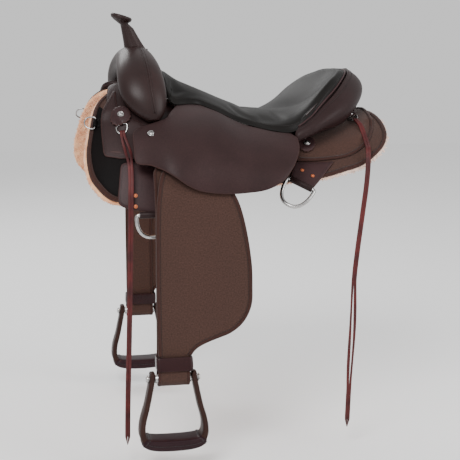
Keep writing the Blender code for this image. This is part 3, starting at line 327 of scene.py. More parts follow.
def waxed_thread():
    """Dark thread with a little of its plies."""
    made, tree, shader = new_material("waxed_thread", 0.55)
    place = add(tree, "ShaderNodeTexCoord").outputs["Object"]
    plies = noise(tree, place, 1400.0, 2.0)
    tint = spread(tree, plies, 0.4, 0.6)
    tree.links.new(mixed(tree, tint, linear(16, 10, 10), linear(34, 23, 21)), shader.inputs["Base Color"])
    return made


def tree_wood():
    """Plain wood, its grain along the horse."""
    made, tree, shader = new_material("tree_wood", 0.6)
    place = add(tree, "ShaderNodeTexCoord").outputs["Object"]
    along = add(tree, "ShaderNodeMapping", Vector=place)
    along.inputs["Scale"].default_value = (12, 160, 160)
    grain = noise(tree, along.outputs[0], 1.0, 5.0)
    tint = spread(tree, grain, 0.35, 0.65)
    colour = mixed(tree, tint, linear(150, 112, 72), linear(196, 156, 108))
    tree.links.new(colour, shader.inputs["Base Color"])
    relief(tree, shader, grain, 0.3, 0.0004)
    return made


wool = fleece_wool()
latigo = latigo_lace()
nickel = metal("nickel_plate", (0.46, 0.45, 0.44), (0.30, 0.29, 0.29), 0.27)
steel = metal("dull_steel", (0.22, 0.21, 0.21), (0.13, 0.13, 0.13), 0.38)
copper = metal("copper_rivet", linear(220, 132, 92), linear(176, 98, 66), 0.34)
thread = waxed_thread()
wood = tree_wood()
print("materials:", len(bpy.data.materials))

# %% [markdown]
# Every layer of a saddle lies on the horse's back, so one pair of surfaces carries them all.
# A place on the back is given by x along the horse and s, the way down from the ridge, with a
# height above the back. The heights at a coarse grid of folds are joined by a smooth curve. A
# Shrinkwrap modifier could lay each piece too, but here every gap between layers is exact.

# %% The two surfaces
CELL_X = 0.060
CELL_S = 0.030


def unit(vector):
    """The vector made one long."""
    return vector / np.linalg.norm(vector)


def units(rows):
    """Every row made one long."""
    return rows / np.linalg.norm(rows, axis=1)[:, None]


def ridge_height(x):
    """The line of the back, rising to the withers and the croup."""
    return 0.118 * math.sin(math.pi / 2 * x / 0.27) ** 2 if x < 0 else 0.5 * x * x


def arch(wide, high, power, s):
    """Point and outward normal at the way s down a rounded arch."""
    turn = np.linspace(0, math.pi / 2, 721)
    y = wide * np.sin(turn) ** (2 / power)
    z = high * np.cos(turn) ** (2 / power)
    length = np.r_[0, np.cumsum(np.hypot(np.diff(y), np.diff(z)))]
    here, past, before = (
        [np.interp(at, length, axis) for axis in (y, z)] for at in (s, s + 0.002, max(s - 0.002, 0))
    )
    run = Vector((1.0, 0.0)) if s <= 0 else Vector((past[0] - before[0], past[1] - before[1])).normalized()
    return here[0], here[1], -run.y, run.x


def back_fold(x, s):
    """The horse's back: half width, height and normal at one place."""
    front = min(max(-x / 0.33, 0), 1.1)
    rear = min(max(x / 0.31, 0), 1.1)
    high = 0.30 + 0.10 * front
    y, z, ny, nz = arch(0.284 - 0.022 * front + 0.016 * rear, high, 2 - 0.35 * front, abs(s))
    side = -1 if s < 0 else 1
    return side * y, z - high + ridge_height(x), side * ny, nz


def ease(value):
    """From 0 to 1 with a slow start and a slow end."""
    value = min(max(value, 0.0), 1.0)
    return value * value * (3 - 2 * value)


def flank_fold(x, s):
    """The surface that the seat jockeys lie on, further out than the back."""
    pinch = 0.048 * ease((-0.195 - x) / 0.06) + 0.02 * ease((x - 0.03) / 0.12)
    y, z, ny, nz = arch(0.310 - pinch, 0.152 + 0.035 * ease((0.03 - x) / 0.12), 2, s)
    return y, z - 0.09, ny, nz


FOLDS_X = range(-8, 9)
FOLDS_S = range(-3, 18)


class Surface:
    """A smooth surface through a coarse grid of folds."""

    def __init__(self, fold):
        self.table = np.array([[fold(i * CELL_X, j * CELL_S) for j in FOLDS_S] for i in FOLDS_X])

    @staticmethod
    def weights(u):
        """How much each of four neighbours counts."""
        return np.stack(
            [
                -0.5 * u + u**2 - 0.5 * u**3,
                1 - 2.5 * u**2 + 1.5 * u**3,
                0.5 * u + 2 * u**2 - 1.5 * u**3,
                -0.5 * u**2 + 0.5 * u**3,
            ]
        )

    def read(self, x, s):
        """Half width, height and outward normal at each place."""
        fx, fs = np.asarray(x, float) / CELL_X, np.asarray(s, float) / CELL_S
        i, j = np.floor(fx).astype(int), np.floor(fs).astype(int)
        wx, ws = self.weights(fx - i), self.weights(fs - j)
        made = 0
        for a in range(4):
            for b in range(4):
                row = np.clip(i - 1 + a - FOLDS_X[0], 0, self.table.shape[0] - 1)
                column = np.clip(j - 1 + b - FOLDS_S[0], 0, self.table.shape[1] - 1)
                made = made + (wx[a] * ws[b])[..., None] * self.table[row, column]
        return made

    def place(self, x, s, depth, side=1):
        """Points of the surface, lifted by a depth, as rows of x, y and z."""
        x, s = np.atleast_1d(x).astype(float), np.atleast_1d(s).astype(float)
        found = self.read(x, s)
        normal = units(found[:, 2:])
        lift = depth(x, s) if callable(depth) else depth
        y, z = (found[:, :2] + np.reshape(lift, (-1, 1)) * normal).T
        return np.c_[x, side * y, z]


BACK = Surface(back_fold)
FLANK = Surface(flank_fold)


def flank_s(x, y):
    """The way down the flank surface at which its half width is y."""
    ways = np.linspace(0, 0.36, 721)
    return float(np.interp(y, FLANK.place(np.full(721, x), ways, 0)[:, 1], ways))


print("half width of the flank at mid length:", round(float(FLANK.place(0, 0.40, 0)[0, 1]), 3))

# %% [markdown]
# A saddle is a stack of layers, so each height is the one below plus a sheet and a small gap.
# The thicknesses repeat the frame's own: fleece, skirt, the wooden bar and what lies over it.

# %% Layers
GAP = 0.0006
FLEECE = 0.010
FLEECE_EDGE = 0.006
SKIRT = 0.004
SKIRT_IN = FLEECE + GAP
SKIRT_OUT = SKIRT_IN + SKIRT
BAR_IN = SKIRT_OUT + GAP
COVER = 0.003
BAR_EDGE_X = (-0.282, -0.262, -0.200, -0.080, 0.050, 0.200, 0.262, 0.282)
BAR_EDGE_S = (0.125, 0.165, 0.168, 0.152, 0.150, 0.160, 0.145, 0.100)


def over_bar(x, s):
    """The height of a cover's inner face: over the wooden bar, then down onto the skirt past it."""
    across = np.maximum(0, 1 - ((s - 0.10) / 0.085) ** 2)
    along = np.maximum(0, 1 - (x / 0.31) ** 4)
    high = BAR_IN + 0.005 + 0.012 * across * along + GAP
    past = np.clip((s - np.interp(x, BAR_EDGE_X, BAR_EDGE_S) - 0.004) / 0.022, 0, 1)
    return high + (SKIRT_OUT + GAP - high) * past * past * (3 - 2 * past)


def over_cover(x, s):
    """The height of a cover's outer face."""
    return over_bar(x, s) + COVER


# %% [markdown]
# A flat pattern is drawn as a few points joined by a smooth curve. A point with a third value
# stays a corner, as where two cuts of the knife meet. Bezier curves would do as well, but plain
# points are what can be measured.


# %% Outlines
def hermite(a, b, slope_a, slope_b, t):
    """A point on the smooth curve between two others."""
    h = 1 - t
    start = (1 + 2 * t) * h * h * a + t * h * h * slope_a
    return start + t * t * (3 - 2 * t) * b - t * t * h * slope_b


def outline_of(points, steps=6):
    """A closed smooth line through the points, with corners at the marked ones."""
    flat = [np.array(p[:2], float) for p in points]
    sharp = [len(p) > 2 for p in points]
    count = len(points)
    made = []
    for i in range(count):
        j = (i + 1) % count
        a, b = flat[i], flat[j]
        slope_a = (b - a) if sharp[i] else (b - flat[i - 1]) / 2
        slope_b = (b - a) if sharp[j] else (flat[(j + 1) % count] - a) / 2
        made += [hermite(a, b, slope_a, slope_b, k / steps) for k in range(steps)]
    return np.array(made)


def open_curve(points, steps=6):
    """An open smooth line through the points."""
    flat = [np.array(p, float) for p in points]
    made = []
    for i in range(len(flat) - 1):
        slope_a = (flat[i + 1] - flat[max(i - 1, 0)]) / 2
        slope_b = (flat[min(i + 2, len(flat) - 1)] - flat[i]) / 2
        made += [hermite(flat[i], flat[i + 1], slope_a, slope_b, k / steps) for k in range(steps)]
    return np.array(made + [flat[-1]])


def way_along(points):
    """The length of a line up to each of its points."""
    return np.r_[0, np.cumsum(np.linalg.norm(np.diff(points, axis=0), axis=1))]


def even(points, spacing, closed=False):
    """The same line with points at near equal steps."""
    points = np.asarray(points, float)
    if closed:
        points = np.vstack([points, points[:1]])
    steps = way_along(points)
    count = max(3, round(steps[-1] / spacing))
    wanted = np.linspace(0, steps[-1], count + 1)
    made = np.stack([np.interp(wanted, steps, axis) for axis in points.T], axis=1)
    return made[:-1] if closed else made


def normals_of(line, closed=True):
    """Unit vectors across a flat line, pointing out of a line that runs anticlockwise."""
    if closed:
        run = np.roll(line, -1, 0) - np.roll(line, 1, 0)
    else:
        run = np.gradient(line, axis=0)
    across = np.c_[run[:, 1], -run[:, 0]]
    return across / np.maximum(np.linalg.norm(across, axis=1), 1e-9)[:, None]


def anticlockwise(line):
    """The closed line, turned round if it runs clockwise."""
    x, s = line.T
    area = np.sum(x * np.roll(s, -1) - s * np.roll(x, -1))
    return line if area > 0 else line[::-1]


def inset(line, amount):
    """The closed line moved inwards, or outwards by a minus amount."""
    return line - amount * normals_of(line)


CUT_STEP = 0.004


def cut(points, step=CUT_STEP):
    """The closed line of a flat pattern through its outline's points, at even steps."""
    return anticlockwise(even(outline_of(points), step, True))


SQUARE = ((0, 0, 1), (0.1, 0, 1), (0.1, 0.1, 1), (0, 0.1, 1))
print("a square decimetre is cut round in", len(cut(SQUARE)), "steps")

# %% [markdown]
# A panel of leather or cloth is two skins over one flat pattern, joined round the cut by a
# rounded edge. Its flat pattern is kept as a UV map, and its distance from the cut as "edge".
# A plane with a Solidify modifier is quicker, but its cut edge would be square.


# %% Panels
FAR_FROM_CUT = 0.05
UV_STEP = 0.002


def lay_flat(mesh, flat):
    """Keeps a flat place for each point of a mesh as its UV map."""
    layer = mesh.uv_layers.new(name="flat")
    corners = np.zeros(len(mesh.loops), int)
    mesh.loops.foreach_get("vertex_index", corners)
    layer.data.foreach_set("uv", np.asarray(flat, float)[corners].ravel())


def store(name, verts, faces, material, flat, edge=None):
    """A closed body as an object at the origin, its faces turned outwards."""
    mesh = bpy.data.meshes.new(name)
    mesh.from_pydata([tuple(v) for v in verts], [], [tuple(f) for f in faces])
    bm = bmesh.new()
    bm.from_mesh(mesh)
    bmesh.ops.recalc_face_normals(bm, faces=bm.faces)
    bm.to_mesh(mesh)
    bm.free()
    mesh.polygons.foreach_set("use_smooth", [True] * len(mesh.polygons))
    if flat is not None:
        lay_flat(mesh, flat)
    from_cut = np.full(len(verts), FAR_FROM_CUT) if edge is None else np.asarray(edge, float)
    mesh.attributes.new("edge", "FLOAT", "POINT").data.foreach_set("value", from_cut)
    mesh.materials.append(material)
    return new_object(name, mesh)


def away(points, line):
    """The distance of each flat point from a closed line."""
    a, b = line, np.roll(line, -1, 0)
    run = b - a
    size = np.maximum((run**2).sum(1), 1e-12)
    best = np.full(len(points), 9.0)
    for k in range(len(a)):
        share = np.clip(((points - a[k]) @ run[k]) / size[k], 0, 1)
        best = np.minimum(best, np.linalg.norm(points - a[k] - share[:, None] * run[k], axis=1))
    return best


def inside(points, line):
    """Which of the flat points lie in a closed line."""
    found = np.zeros(len(points), bool)
    for (ax, a), (bx, b) in zip(line, np.roll(line, -1, 0)):
        crosses = (points[:, 1] < a) != (points[:, 1] < b)
        if a != b:
            found ^= crosses & (points[:, 0] < ax + (points[:, 1] - a) / (b - a) * (bx - ax))
    return found


def fill(line, cell):
    """Points and triangles that fill a closed flat line; the line's own points come first."""
    low, high = line.min(0), line.max(0)
    grid = np.stack(
        np.meshgrid(np.arange(low[0], high[0], cell), np.arange(low[1], high[1], cell)), axis=-1
    ).reshape(-1, 2)
    grid = grid[inside(grid, line)]
    grid = grid[away(grid, line) > cell * 0.55]
    points = np.vstack([line, grid])
    made = delaunay_2d_cdt(
        [Vector(p * 1000) for p in points], [], [list(range(len(line)))], 1, 1e-4
    )
    order = {}
    for new, old in enumerate(made[3]):
        for k in old:
            order[k] = new
    return np.array([v[:] for v in made[0]]) / 1000, made[2], [order[k] for k in range(len(line))]


def traced(place, line, lift):
    """A flat line laid in its place at a height."""
    return place(line[:, 0], line[:, 1], lift)


def raised(height, by):
    """A height, or a rule that gives one at each place, with a little added."""
    return (lambda x, s: height(x, s) + by) if callable(height) else height + by


def panel(name, line, place, low, high, material, cell=0.008, round_by=0.0013):
    """A closed sheet between two heights over its flat pattern, with a rounded cut edge."""
    line = anticlockwise(even(line, min(cell, 0.005), True))
    flat, faces, rim = fill(inset(line, round_by), cell)
    x, s = flat.T
    low_at, high_at = (h(x, s) if callable(h) else np.full(len(x), h) for h in (low, high))
    verts = [place(x, s, high_at), place(x, s, low_at)]
    uv = [flat, flat]
    edge = away(flat, line)
    edges = [edge, edge + 0.01]
    count = len(flat)
    all_faces = [tuple(f) for f in faces] + [tuple(count + v for v in f[::-1]) for f in faces]
    out = normals_of(line)
    start = flat[rim]
    middle, half = (high_at[rim] + low_at[rim]) / 2, (high_at[rim] - low_at[rim]) / 2
    rings = [list(rim)]
    for k in range(1, 4):
        turn = math.pi / 4 * k
        spot = start + out * round_by * math.sin(turn)
        verts.append(traced(place, spot, middle + half * math.cos(turn)))
        uv.append(spot)
        edges.append(np.zeros(len(rim)))
        first = sum(len(v) for v in verts[:-1])
        rings.append([first + n for n in range(len(rim))])
    rings.append([count + v for v in rim])
    for a, b in zip(rings, rings[1:]):
        for k in range(len(rim)):
            m = (k + 1) % len(rim)
            all_faces.append((a[k], b[k], b[m], a[m]))
    return store(name, np.vstack(verts), all_faces, material, np.vstack(uv), np.concatenate(edges))


def trim(name, line, place, section, material, closed=True):
    """A strip that follows a flat line; its section gives (way in, height) all the way round."""
    line = np.asarray(line)
    out = normals_of(line, closed)
    along = way_along(line)
    verts, uv = [], []
    for k, (way, height) in enumerate(section):
        spot = line - out * way
        lift = height(spot[:, 0], spot[:, 1]) if callable(height) else np.full(len(spot), height)
        verts.append(traced(place, spot, lift))
        uv.append(np.c_[along, np.full(len(along), UV_STEP * k)])
    count, rings = len(line), len(section)
    faces = []
    for k in range(rings):
        a, b = k * count, (k + 1) % rings * count
        last = count if closed else count - 1
        for n in range(last):
            m = (n + 1) % count
            faces.append((a + n, a + m, b + m, b + n))
    if not closed:
        faces.append([k * count for k in range(rings)])
        faces.append([k * count + count - 1 for k in range(rings)][::-1])
    return store(name, np.vstack(verts), faces, material, np.vstack(uv))


print("cells of 8 mm fill a square decimetre with", len(fill(cut(SQUARE), 0.008)[0]), "points")

# %% [markdown]
# Wires, turned pieces and covers over a tree are lofts: rings of points joined by faces. A coarse
# row of rings is first made smooth. Bevelled curves could make the wires, but not the covers, so
# one method serves all of them.


# %% Lofts and wires
SKEW = (0.31, 0.52, 0.79)


def smooth(table, times, closed):
    """More rows in a table of points, on a smooth curve through the old ones."""
    table = np.asarray(table, float)
    count = len(table)
    made = []
    for i in range(count if closed else count - 1):
        before = table[(i - 1) % count] if closed else table[max(i - 1, 0)]
        a, b = table[i], table[(i + 1) % count]
        after = table[(i + 2) % count] if closed else table[min(i + 2, count - 1)]
        made += [hermite(a, b, (b - before) / 2, (after - a) / 2, k / times) for k in range(times)]
    if not closed:
        made.append(table[-1])
    return np.array(made)


def loft(name, rings, material, closed=False, flat=True):
    """A body through rings of points; a closed one has its last ring next to its first."""
    rings = np.asarray(rings, float)
    rows, count = rings.shape[:2]
    faces = []
    for a in range(rows if closed else rows - 1):
        b = (a + 1) % rows
        for k in range(count):
            m = (k + 1) % count
            faces.append((a * count + k, a * count + m, b * count + m, b * count + k))
    if not closed:
        faces.append(list(range(count))[::-1])
        faces.append([(rows - 1) * count + k for k in range(count)])
    along = way_along(rings.mean(1))
    around = np.arange(count) * UV_STEP
    uv = np.stack(np.meshgrid(along, around, indexing="ij"), axis=-1).reshape(-1, 2)
    return store(name, rings.reshape(-1, 3), faces, material, uv if flat else None)


def across_of(points, closed, hint):
    """Two unit vectors across a line of points at each of them."""
    points = np.asarray(points, float)
    run = np.roll(points, -1, 0) - np.roll(points, 1, 0) if closed else np.gradient(points, axis=0)
    run = units(run)
    hint = np.broadcast_to(np.asarray(hint, float), points.shape)
    first = units(hint - (hint * run).sum(1)[:, None] * run)
    return first, np.cross(run, first)


def wire_rings(points, radius, closed, hint, sides):
    """Round rings about a line; the hint turns where each ring starts."""
    first, second = across_of(points, closed, hint)
    turn = np.linspace(0, 2 * math.pi, sides, endpoint=False)
    radius = np.broadcast_to(radius, len(points))[:, None, None]
    c, s = (f(turn)[None, :, None] for f in (np.cos, np.sin))
    return np.asarray(points)[:, None] + radius * (c * first[:, None] + s * second[:, None])


def wire(name, points, radius, material, closed=False, hint=SKEW, sides=16):
    """A round wire, cord or welt along a line of points."""
    return loft(name, wire_rings(points, radius, closed, hint, sides), material, closed)


def turned(name, steps, centre, axis, material, sides=32):
    """A turned piece; steps are (way along the axis, radius)."""
    axis = unit(np.asarray(axis, float))
    hint = np.array(SKEW) if abs(axis[1]) < 0.9 else np.array([1.0, 0.0, 0.0])
    first = unit(np.cross(axis, hint))
    second = np.cross(axis, first)
    turn = np.linspace(0, 2 * math.pi, sides, endpoint=False)
    circle = np.cos(turn)[:, None] * first + np.sin(turn)[:, None] * second
    rings = [np.asarray(centre) + way * axis + radius * circle for way, radius in steps]
    return loft(name, rings, material)


def boxy(half_a, half_b, power, count):
    """A rounded rectangle about the origin."""
    turn = np.linspace(0, 2 * math.pi, count, endpoint=False)
    flat = np.c_[np.cos(turn), np.sin(turn)]
    return np.sign(flat) * np.abs(flat) ** (2 / power) * (half_a, half_b)


def stand_for(piece, body, slot, *replaced):
    """Puts a finished piece on its body, in place of the plain solids."""
    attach(piece, body)
    if replaced:
        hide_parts(*replaced)
    return piece


# %% [markdown]
# Stitches are the same short thread thousands of times, so a Geometry Nodes tree lays them: it
# walks along a line at an even spacing, sets a grain-shaped stitch on each step and turns it to
# follow the line. The result is turned into a plain mesh.


# %% The stitch tree
def tree_with(name, inputs):
    """An empty Geometry Nodes tree with named inputs."""
    tree = bpy.data.node_groups.new(name, "GeometryNodeTree")
    tree.interface.new_socket("Geometry", in_out="INPUT", socket_type="NodeSocketGeometry")
    for label, kind in inputs:
        tree.interface.new_socket(label, in_out="INPUT", socket_type=f"NodeSocket{kind}")
    tree.interface.new_socket("Geometry", in_out="OUTPUT", socket_type="NodeSocketGeometry")
    return tree, tree.nodes.new("NodeGroupInput").outputs, tree.nodes.new("NodeGroupOutput")


def stitch_tree():
    """Sets a thread-shaped grain at even steps along every line of a mesh."""
    sizes = [(label, "Float") for label in ("Spacing", "Length", "Thickness")]
    tree, given, end = tree_with("stitches", (*sizes, ("Thread", "Material")))
    line = add(tree, "GeometryNodeMeshToCurve", Mesh=given["Geometry"])
    steps = add(tree, "GeometryNodeResampleCurve", Curve=line.outputs[0])
    steps.mode = "LENGTH"
    tree.links.new(given["Spacing"], steps.inputs["Length"])
    grain = add(tree, "GeometryNodeMeshUVSphere", Segments=6, Rings=4, Radius=0.5)
    tangent = tree.nodes.new("GeometryNodeInputTangent")
    turn = add(tree, "FunctionNodeAlignEulerToVector", Vector=tangent.outputs[0])
    turn.axis = "X"
    size = add(tree, "ShaderNodeCombineXYZ", X=given["Length"], Y=given["Thickness"], Z=given["Thickness"])
    laid = add(tree, "GeometryNodeInstanceOnPoints", Points=steps.outputs[0], Instance=grain.outputs["Mesh"])
    tree.links.new(turn.outputs[0], laid.inputs["Rotation"])
    tree.links.new(size.outputs[0], laid.inputs["Scale"])
    real = add(tree, "GeometryNodeRealizeInstances", Geometry=laid.outputs[0])
    painted = add(tree, "GeometryNodeSetMaterial", Geometry=real.outputs[0], Material=given["Thread"])
    tree.links.new(painted.outputs[0], end.inputs[0])
    return tree


STITCHES = stitch_tree()


def grown_by(name, mesh, tree, **values):
    """The plain mesh that a tree makes from a mesh."""
    seed = new_object("seed", mesh)
    step = seed.modifiers.new("grow", "NODES")
    step.node_group = tree
    for item in tree.interface.items_tree:
        if item.in_out == "INPUT" and item.name in values:
            step[item.identifier] = values[item.name]
    bpy.context.view_layer.update()
    depsgraph = bpy.context.evaluated_depsgraph_get()
    result = bpy.data.meshes.new_from_object(seed.evaluated_get(depsgraph), depsgraph=depsgraph)
    bpy.data.objects.remove(seed, do_unlink=True)
    result.name = name
    result.polygons.foreach_set("use_smooth", [True] * len(result.polygons))
    return new_object(name, result)


def stitch(name, lines, body, slot, spacing=0.0042, length=0.0034, thickness=0.0010):
    """Rows of stitches along lines of points, on the body of what they sew."""
    verts, edges = [], []
    for line in lines:
        first = len(verts)
        verts += [tuple(p) for p in line]
        edges += [(first + k, first + k + 1) for k in range(len(line) - 1)]
    mesh = bpy.data.meshes.new("row")
    mesh.from_pydata(verts, edges, [])
    sizes = {"Spacing": spacing, "Length": length, "Thickness": thickness}
    return stand_for(grown_by(name, mesh, STITCHES, **sizes, Thread=thread), body, slot)


print("stitch tree nodes:", len(STITCHES.nodes))

# %% [markdown]
# The skirts are the broad base on each side: woven nylon, bound along the edge with a folded
# strip and stitched. Under them lies the fleece that rests on the horse.

# %% Skirts with their binding
SKIRT_OUTLINE = [
    (-0.260, 0.052), (-0.293, 0.076), (-0.310, 0.098), (-0.319, 0.122), (-0.328, 0.160),
    (-0.336, 0.205), (-0.332, 0.255), (-0.317, 0.292), (-0.299, 0.319), (-0.278, 0.333),
    (-0.245, 0.335), (-0.190, 0.303), (-0.110, 0.254), (0.000, 0.231), (0.090, 0.224),
    (0.160, 0.228), (0.208, 0.225), (0.241, 0.223), (0.266, 0.215), (0.291, 0.200),
    (0.306, 0.185), (0.317, 0.160), (0.320, 0.124), (0.319, 0.090), (0.315, 0.045),
    (0.307, 0.006, 1), (0.180, 0.006, 1), (0.120, 0.030), (0.000, 0.034), (-0.150, 0.036),
    (-0.220, 0.040),
]
skirt_line = cut(SKIRT_OUTLINE)
BAND_WALL = 0.0009
SKIRT_BAND = 0.0085
SKIRT_SEAM = 0.0068
ON_BAND = 0.0012


def lying(surface, side):
    """Places points on a surface of one side."""
    return lambda x, s, depth: surface.place(x, s, depth, side)


def binding_section(width, low, high):
    """A folded strip round an edge: (way in, height) round its section."""
    wall = BAND_WALL
    above = [(width, 0.0001), (width, wall), (width * 0.5, wall * 1.25), (0.0008, wall * 1.1)]
    below = [(-wall, 0.0008), (0.0006, -wall * 0.5), (width, -wall * 0.45), (width, -0.0001)]
    section = [(way, raised(high, by)) for way, by in (*above, (-wall, -0.0006))]
    section += [(way, raised(low, by)) for way, by in (*below, (0.0, 0.0006))]
    return [*section, (0.0, raised(high, -0.0006))]


for name, side in SIDES:
    place = lying(BACK, side)
    skirt = panel(f"skirt_cloth_{name}", skirt_line, place, SKIRT_IN, SKIRT_OUT, nylon)
    stand_for(skirt, "saddle", "skirt_cordura", f"skirt_{name}")
    section = binding_section(SKIRT_BAND, SKIRT_IN, SKIRT_OUT)
    band = trim(f"skirt_binding_{name}", skirt_line, place, section, binding)
    stand_for(band, "saddle", "skirt_cordura")
    rows = [traced(place, inset(skirt_line, SKIRT_SEAM), SKIRT_OUT + ON_BAND)]
    stitch(f"skirt_stitches_{name}", rows, "saddle", "skirt_cordura")
print("skirt perimeter:", round(float(way_along(skirt_line)[-1]), 3), "m")

# %% [markdown]
# Fleece is a dense pile. A soft, lumpy sheet gives its body, and a Geometry Nodes tree scatters
# small curled locks over its underside and round its rim, where the wool shows past the skirt.
# The locks are short at the front and longer and more ragged towards the tail. Hair strands would
# look softer, but they wouldn't be exported; locks are meshes.


# %% Fleece
LOCK_LENGTH = 0.0080
LOCK_RADIUS = 0.0021
LOCK_TIP = 0.0002
LOCK_CURL = 0.0022
LOCK_LEAN = 0.0016
LOCKS_A_SQUARE_METRE = 42000.0


def lock_mesh():
    """One curled lock of wool, pointing along Z."""
    rings = []
    for share in (0, 0.25, 0.5, 0.75, 1):
        radius = LOCK_RADIUS * (1 - share) ** 0.6 + LOCK_TIP
        centre = np.array([LOCK_CURL * math.sin(share * 3.0), LOCK_LEAN * share * share, LOCK_LENGTH * share])
        corners = [(math.cos(a), math.sin(a), 0) for a in (0, 1.57, 3.14, 4.71)]
        rings.append(centre + radius * np.array(corners))
    return loft("lock", rings, wool, flat=False)


def pile_tree(lock):
    """Scatters copies of one lock over a mesh, each turned and sized by chance."""
    tree, given, end = tree_with("pile", (("Density", "Float"), ("Wool", "Material")))
    spots = add(tree, "GeometryNodeDistributePointsOnFaces", Mesh=given["Geometry"], Seed=7)
    tree.links.new(given["Density"], spots.inputs["Density"])
    one = add(tree, "GeometryNodeObjectInfo", Object=lock)
    turn = tree.nodes.new("FunctionNodeRandomValue")
    turn.data_type = "FLOAT_VECTOR"
    turn.inputs["Min"].default_value = (-0.55, -0.55, -3.14)
    turn.inputs["Max"].default_value = (0.55, 0.55, 3.14)
    turn.inputs["Seed"].default_value = 3
    size = tree.nodes.new("FunctionNodeRandomValue")
    size.inputs[2].default_value = 0.6
    size.inputs[3].default_value = 1.15
    size.inputs["Seed"].default_value = 5
    laid = add(tree, "GeometryNodeInstanceOnPoints", Points=spots.outputs["Points"])
    tree.links.new(one.outputs["Geometry"], laid.inputs["Instance"])
    tree.links.new(spots.outputs["Rotation"], laid.inputs["Rotation"])
    place = tree.nodes.new("GeometryNodeInputPosition")
    where = add(tree, "ShaderNodeSeparateXYZ", Vector=place.outputs[0])
    longer = spread(tree, where.outputs["X"], 0.10, 0.26, 0.40, 0.80)
    tree.links.new(maths(tree, "MULTIPLY", size.outputs[1], longer), laid.inputs["Scale"])
    tilted = add(tree, "GeometryNodeRotateInstances", Instances=laid.outputs[0])
    tree.links.new(turn.outputs[0], tilted.inputs["Rotation"])
    real = add(tree, "GeometryNodeRealizeInstances", Geometry=tilted.outputs[0])
    painted = add(tree, "GeometryNodeSetMaterial", Geometry=real.outputs[0], Material=given["Wool"])
    tree.links.new(painted.outputs[0], end.inputs[0])
    return tree


def open_underside(mesh, place):
    """A copy of a panel without the skin that faces away from the horse."""
    kept = bmesh.new()
    kept.from_mesh(mesh)
    layer = kept.loops.layers.uv["flat"]
    flat = np.array([np.mean([loop[layer].uv[:] for loop in face.loops], axis=0) for face in kept.faces])
    up = place(flat[:, 0], flat[:, 1], FLEECE) - place(flat[:, 0], flat[:, 1], 0.0)
    facing = (np.array([face.normal[:] for face in kept.faces]) * up).sum(1) / FLEECE
    bmesh.ops.delete(kept, geom=[f for f, way in zip(kept.faces, facing) if way > 0.5], context="FACES")
    made = bpy.data.meshes.new("underside")
    kept.to_mesh(made)
    kept.free()
    return made


lock = lock_mesh()
PILE = pile_tree(lock)
PAST_SKIRT = ((-0.24, FLEECE_EDGE), (-0.16, 0.0), (0.12, 0.0), (0.20, FLEECE_EDGE * 0.6))
RIDGE_GAP = 0.003
fleece_line = inset(skirt_line, -np.interp(skirt_line[:, 0], *zip(*PAST_SKIRT))[:, None])
fleece_line[:, 1] = np.maximum(fleece_line[:, 1], RIDGE_GAP)


def lumpy(x, s):
    """The underside of the fleece, a little uneven."""
    waves = np.sin(x * 410 + 2 * np.sin(s * 300)) * np.sin(s * 370 + 1.5 * np.sin(x * 260))
    return 0.0012 + 0.0011 * waves


for name, side in SIDES:
    place = lying(BACK, side)
    pad = panel(f"fleece_pad_{name}", fleece_line, place, lumpy, FLEECE - 0.0004, wool, 0.007, 0.004)
    stand_for(pad, "saddle", "fleece", f"fleece_{name}")
    under = open_underside(pad.data, place)
    tufts = grown_by(f"fleece_locks_{name}", under, PILE, Density=LOCKS_A_SQUARE_METRE, Wool=wool)
    stand_for(tufts, "saddle", "fleece")
    print(f"fleece {name}:", len(tufts.data.polygons), "lock faces")
bpy.data.objects.remove(lock, do_unlink=True)

# %% [markdown]
# The front jockey is a leather apron under the swell, and the rear jockey a bound nylon one
# behind the cantle. Both lie over the wooden bars and settle onto the skirt at their edge. Cloth
# could be dropped there; a rule for the height keeps each layer exactly on the one below.

# %% Front and rear jockeys
FRONT_JOCKEY = [
    (-0.273, 0.082), (-0.283, 0.100), (-0.299, 0.127), (-0.304, 0.160), (-0.303, 0.223, 1),
    (-0.297, 0.233), (-0.269, 0.2455, 1), (-0.230, 0.246), (-0.200, 0.232, 1), (-0.192, 0.190, 1),
    (-0.208, 0.175), (-0.228, 0.162), (-0.249, 0.154), (-0.265, 0.134), (-0.2675, 0.100),
    (-0.266, 0.080),
]
REAR_JOCKEY = [
    (0.303, 0.030), (0.302, 0.060), (0.299, 0.100), (0.294, 0.129), (0.282, 0.156),
    (0.266, 0.174), (0.240, 0.188), (0.210, 0.192), (0.150, 0.184), (0.112, 0.176, 1),
    (0.108, 0.130), (0.135, 0.110), (0.165, 0.060), (0.190, 0.007, 1), (0.298, 0.007, 1),
]
SLOT = ((-0.291, 0.2245), (-0.262, 0.2335))
SLOT_HALF = 0.0016
FRONT_SEAM = 0.0045
REAR_SEAM = 0.0050
REAR_BAND = 0.0065
ON_LEATHER = 0.0002
front_line = cut(FRONT_JOCKEY)
rear_line = cut(REAR_JOCKEY)


def lens(ends, half):
    """A narrow slit with pointed ends between two flat points."""
    a, b = (np.array(p) for p in ends)
    run = b - a
    across = unit(np.array([-run[1], run[0]]))
    share = np.linspace(0, 1, 13)
    upper = a + share[:, None] * run + np.sin(share * math.pi)[:, None] * across * half
    lower = a + share[::-1, None] * run - np.sin(share * math.pi)[:, None] * across * half
    return np.vstack([upper, lower[1:-1]])


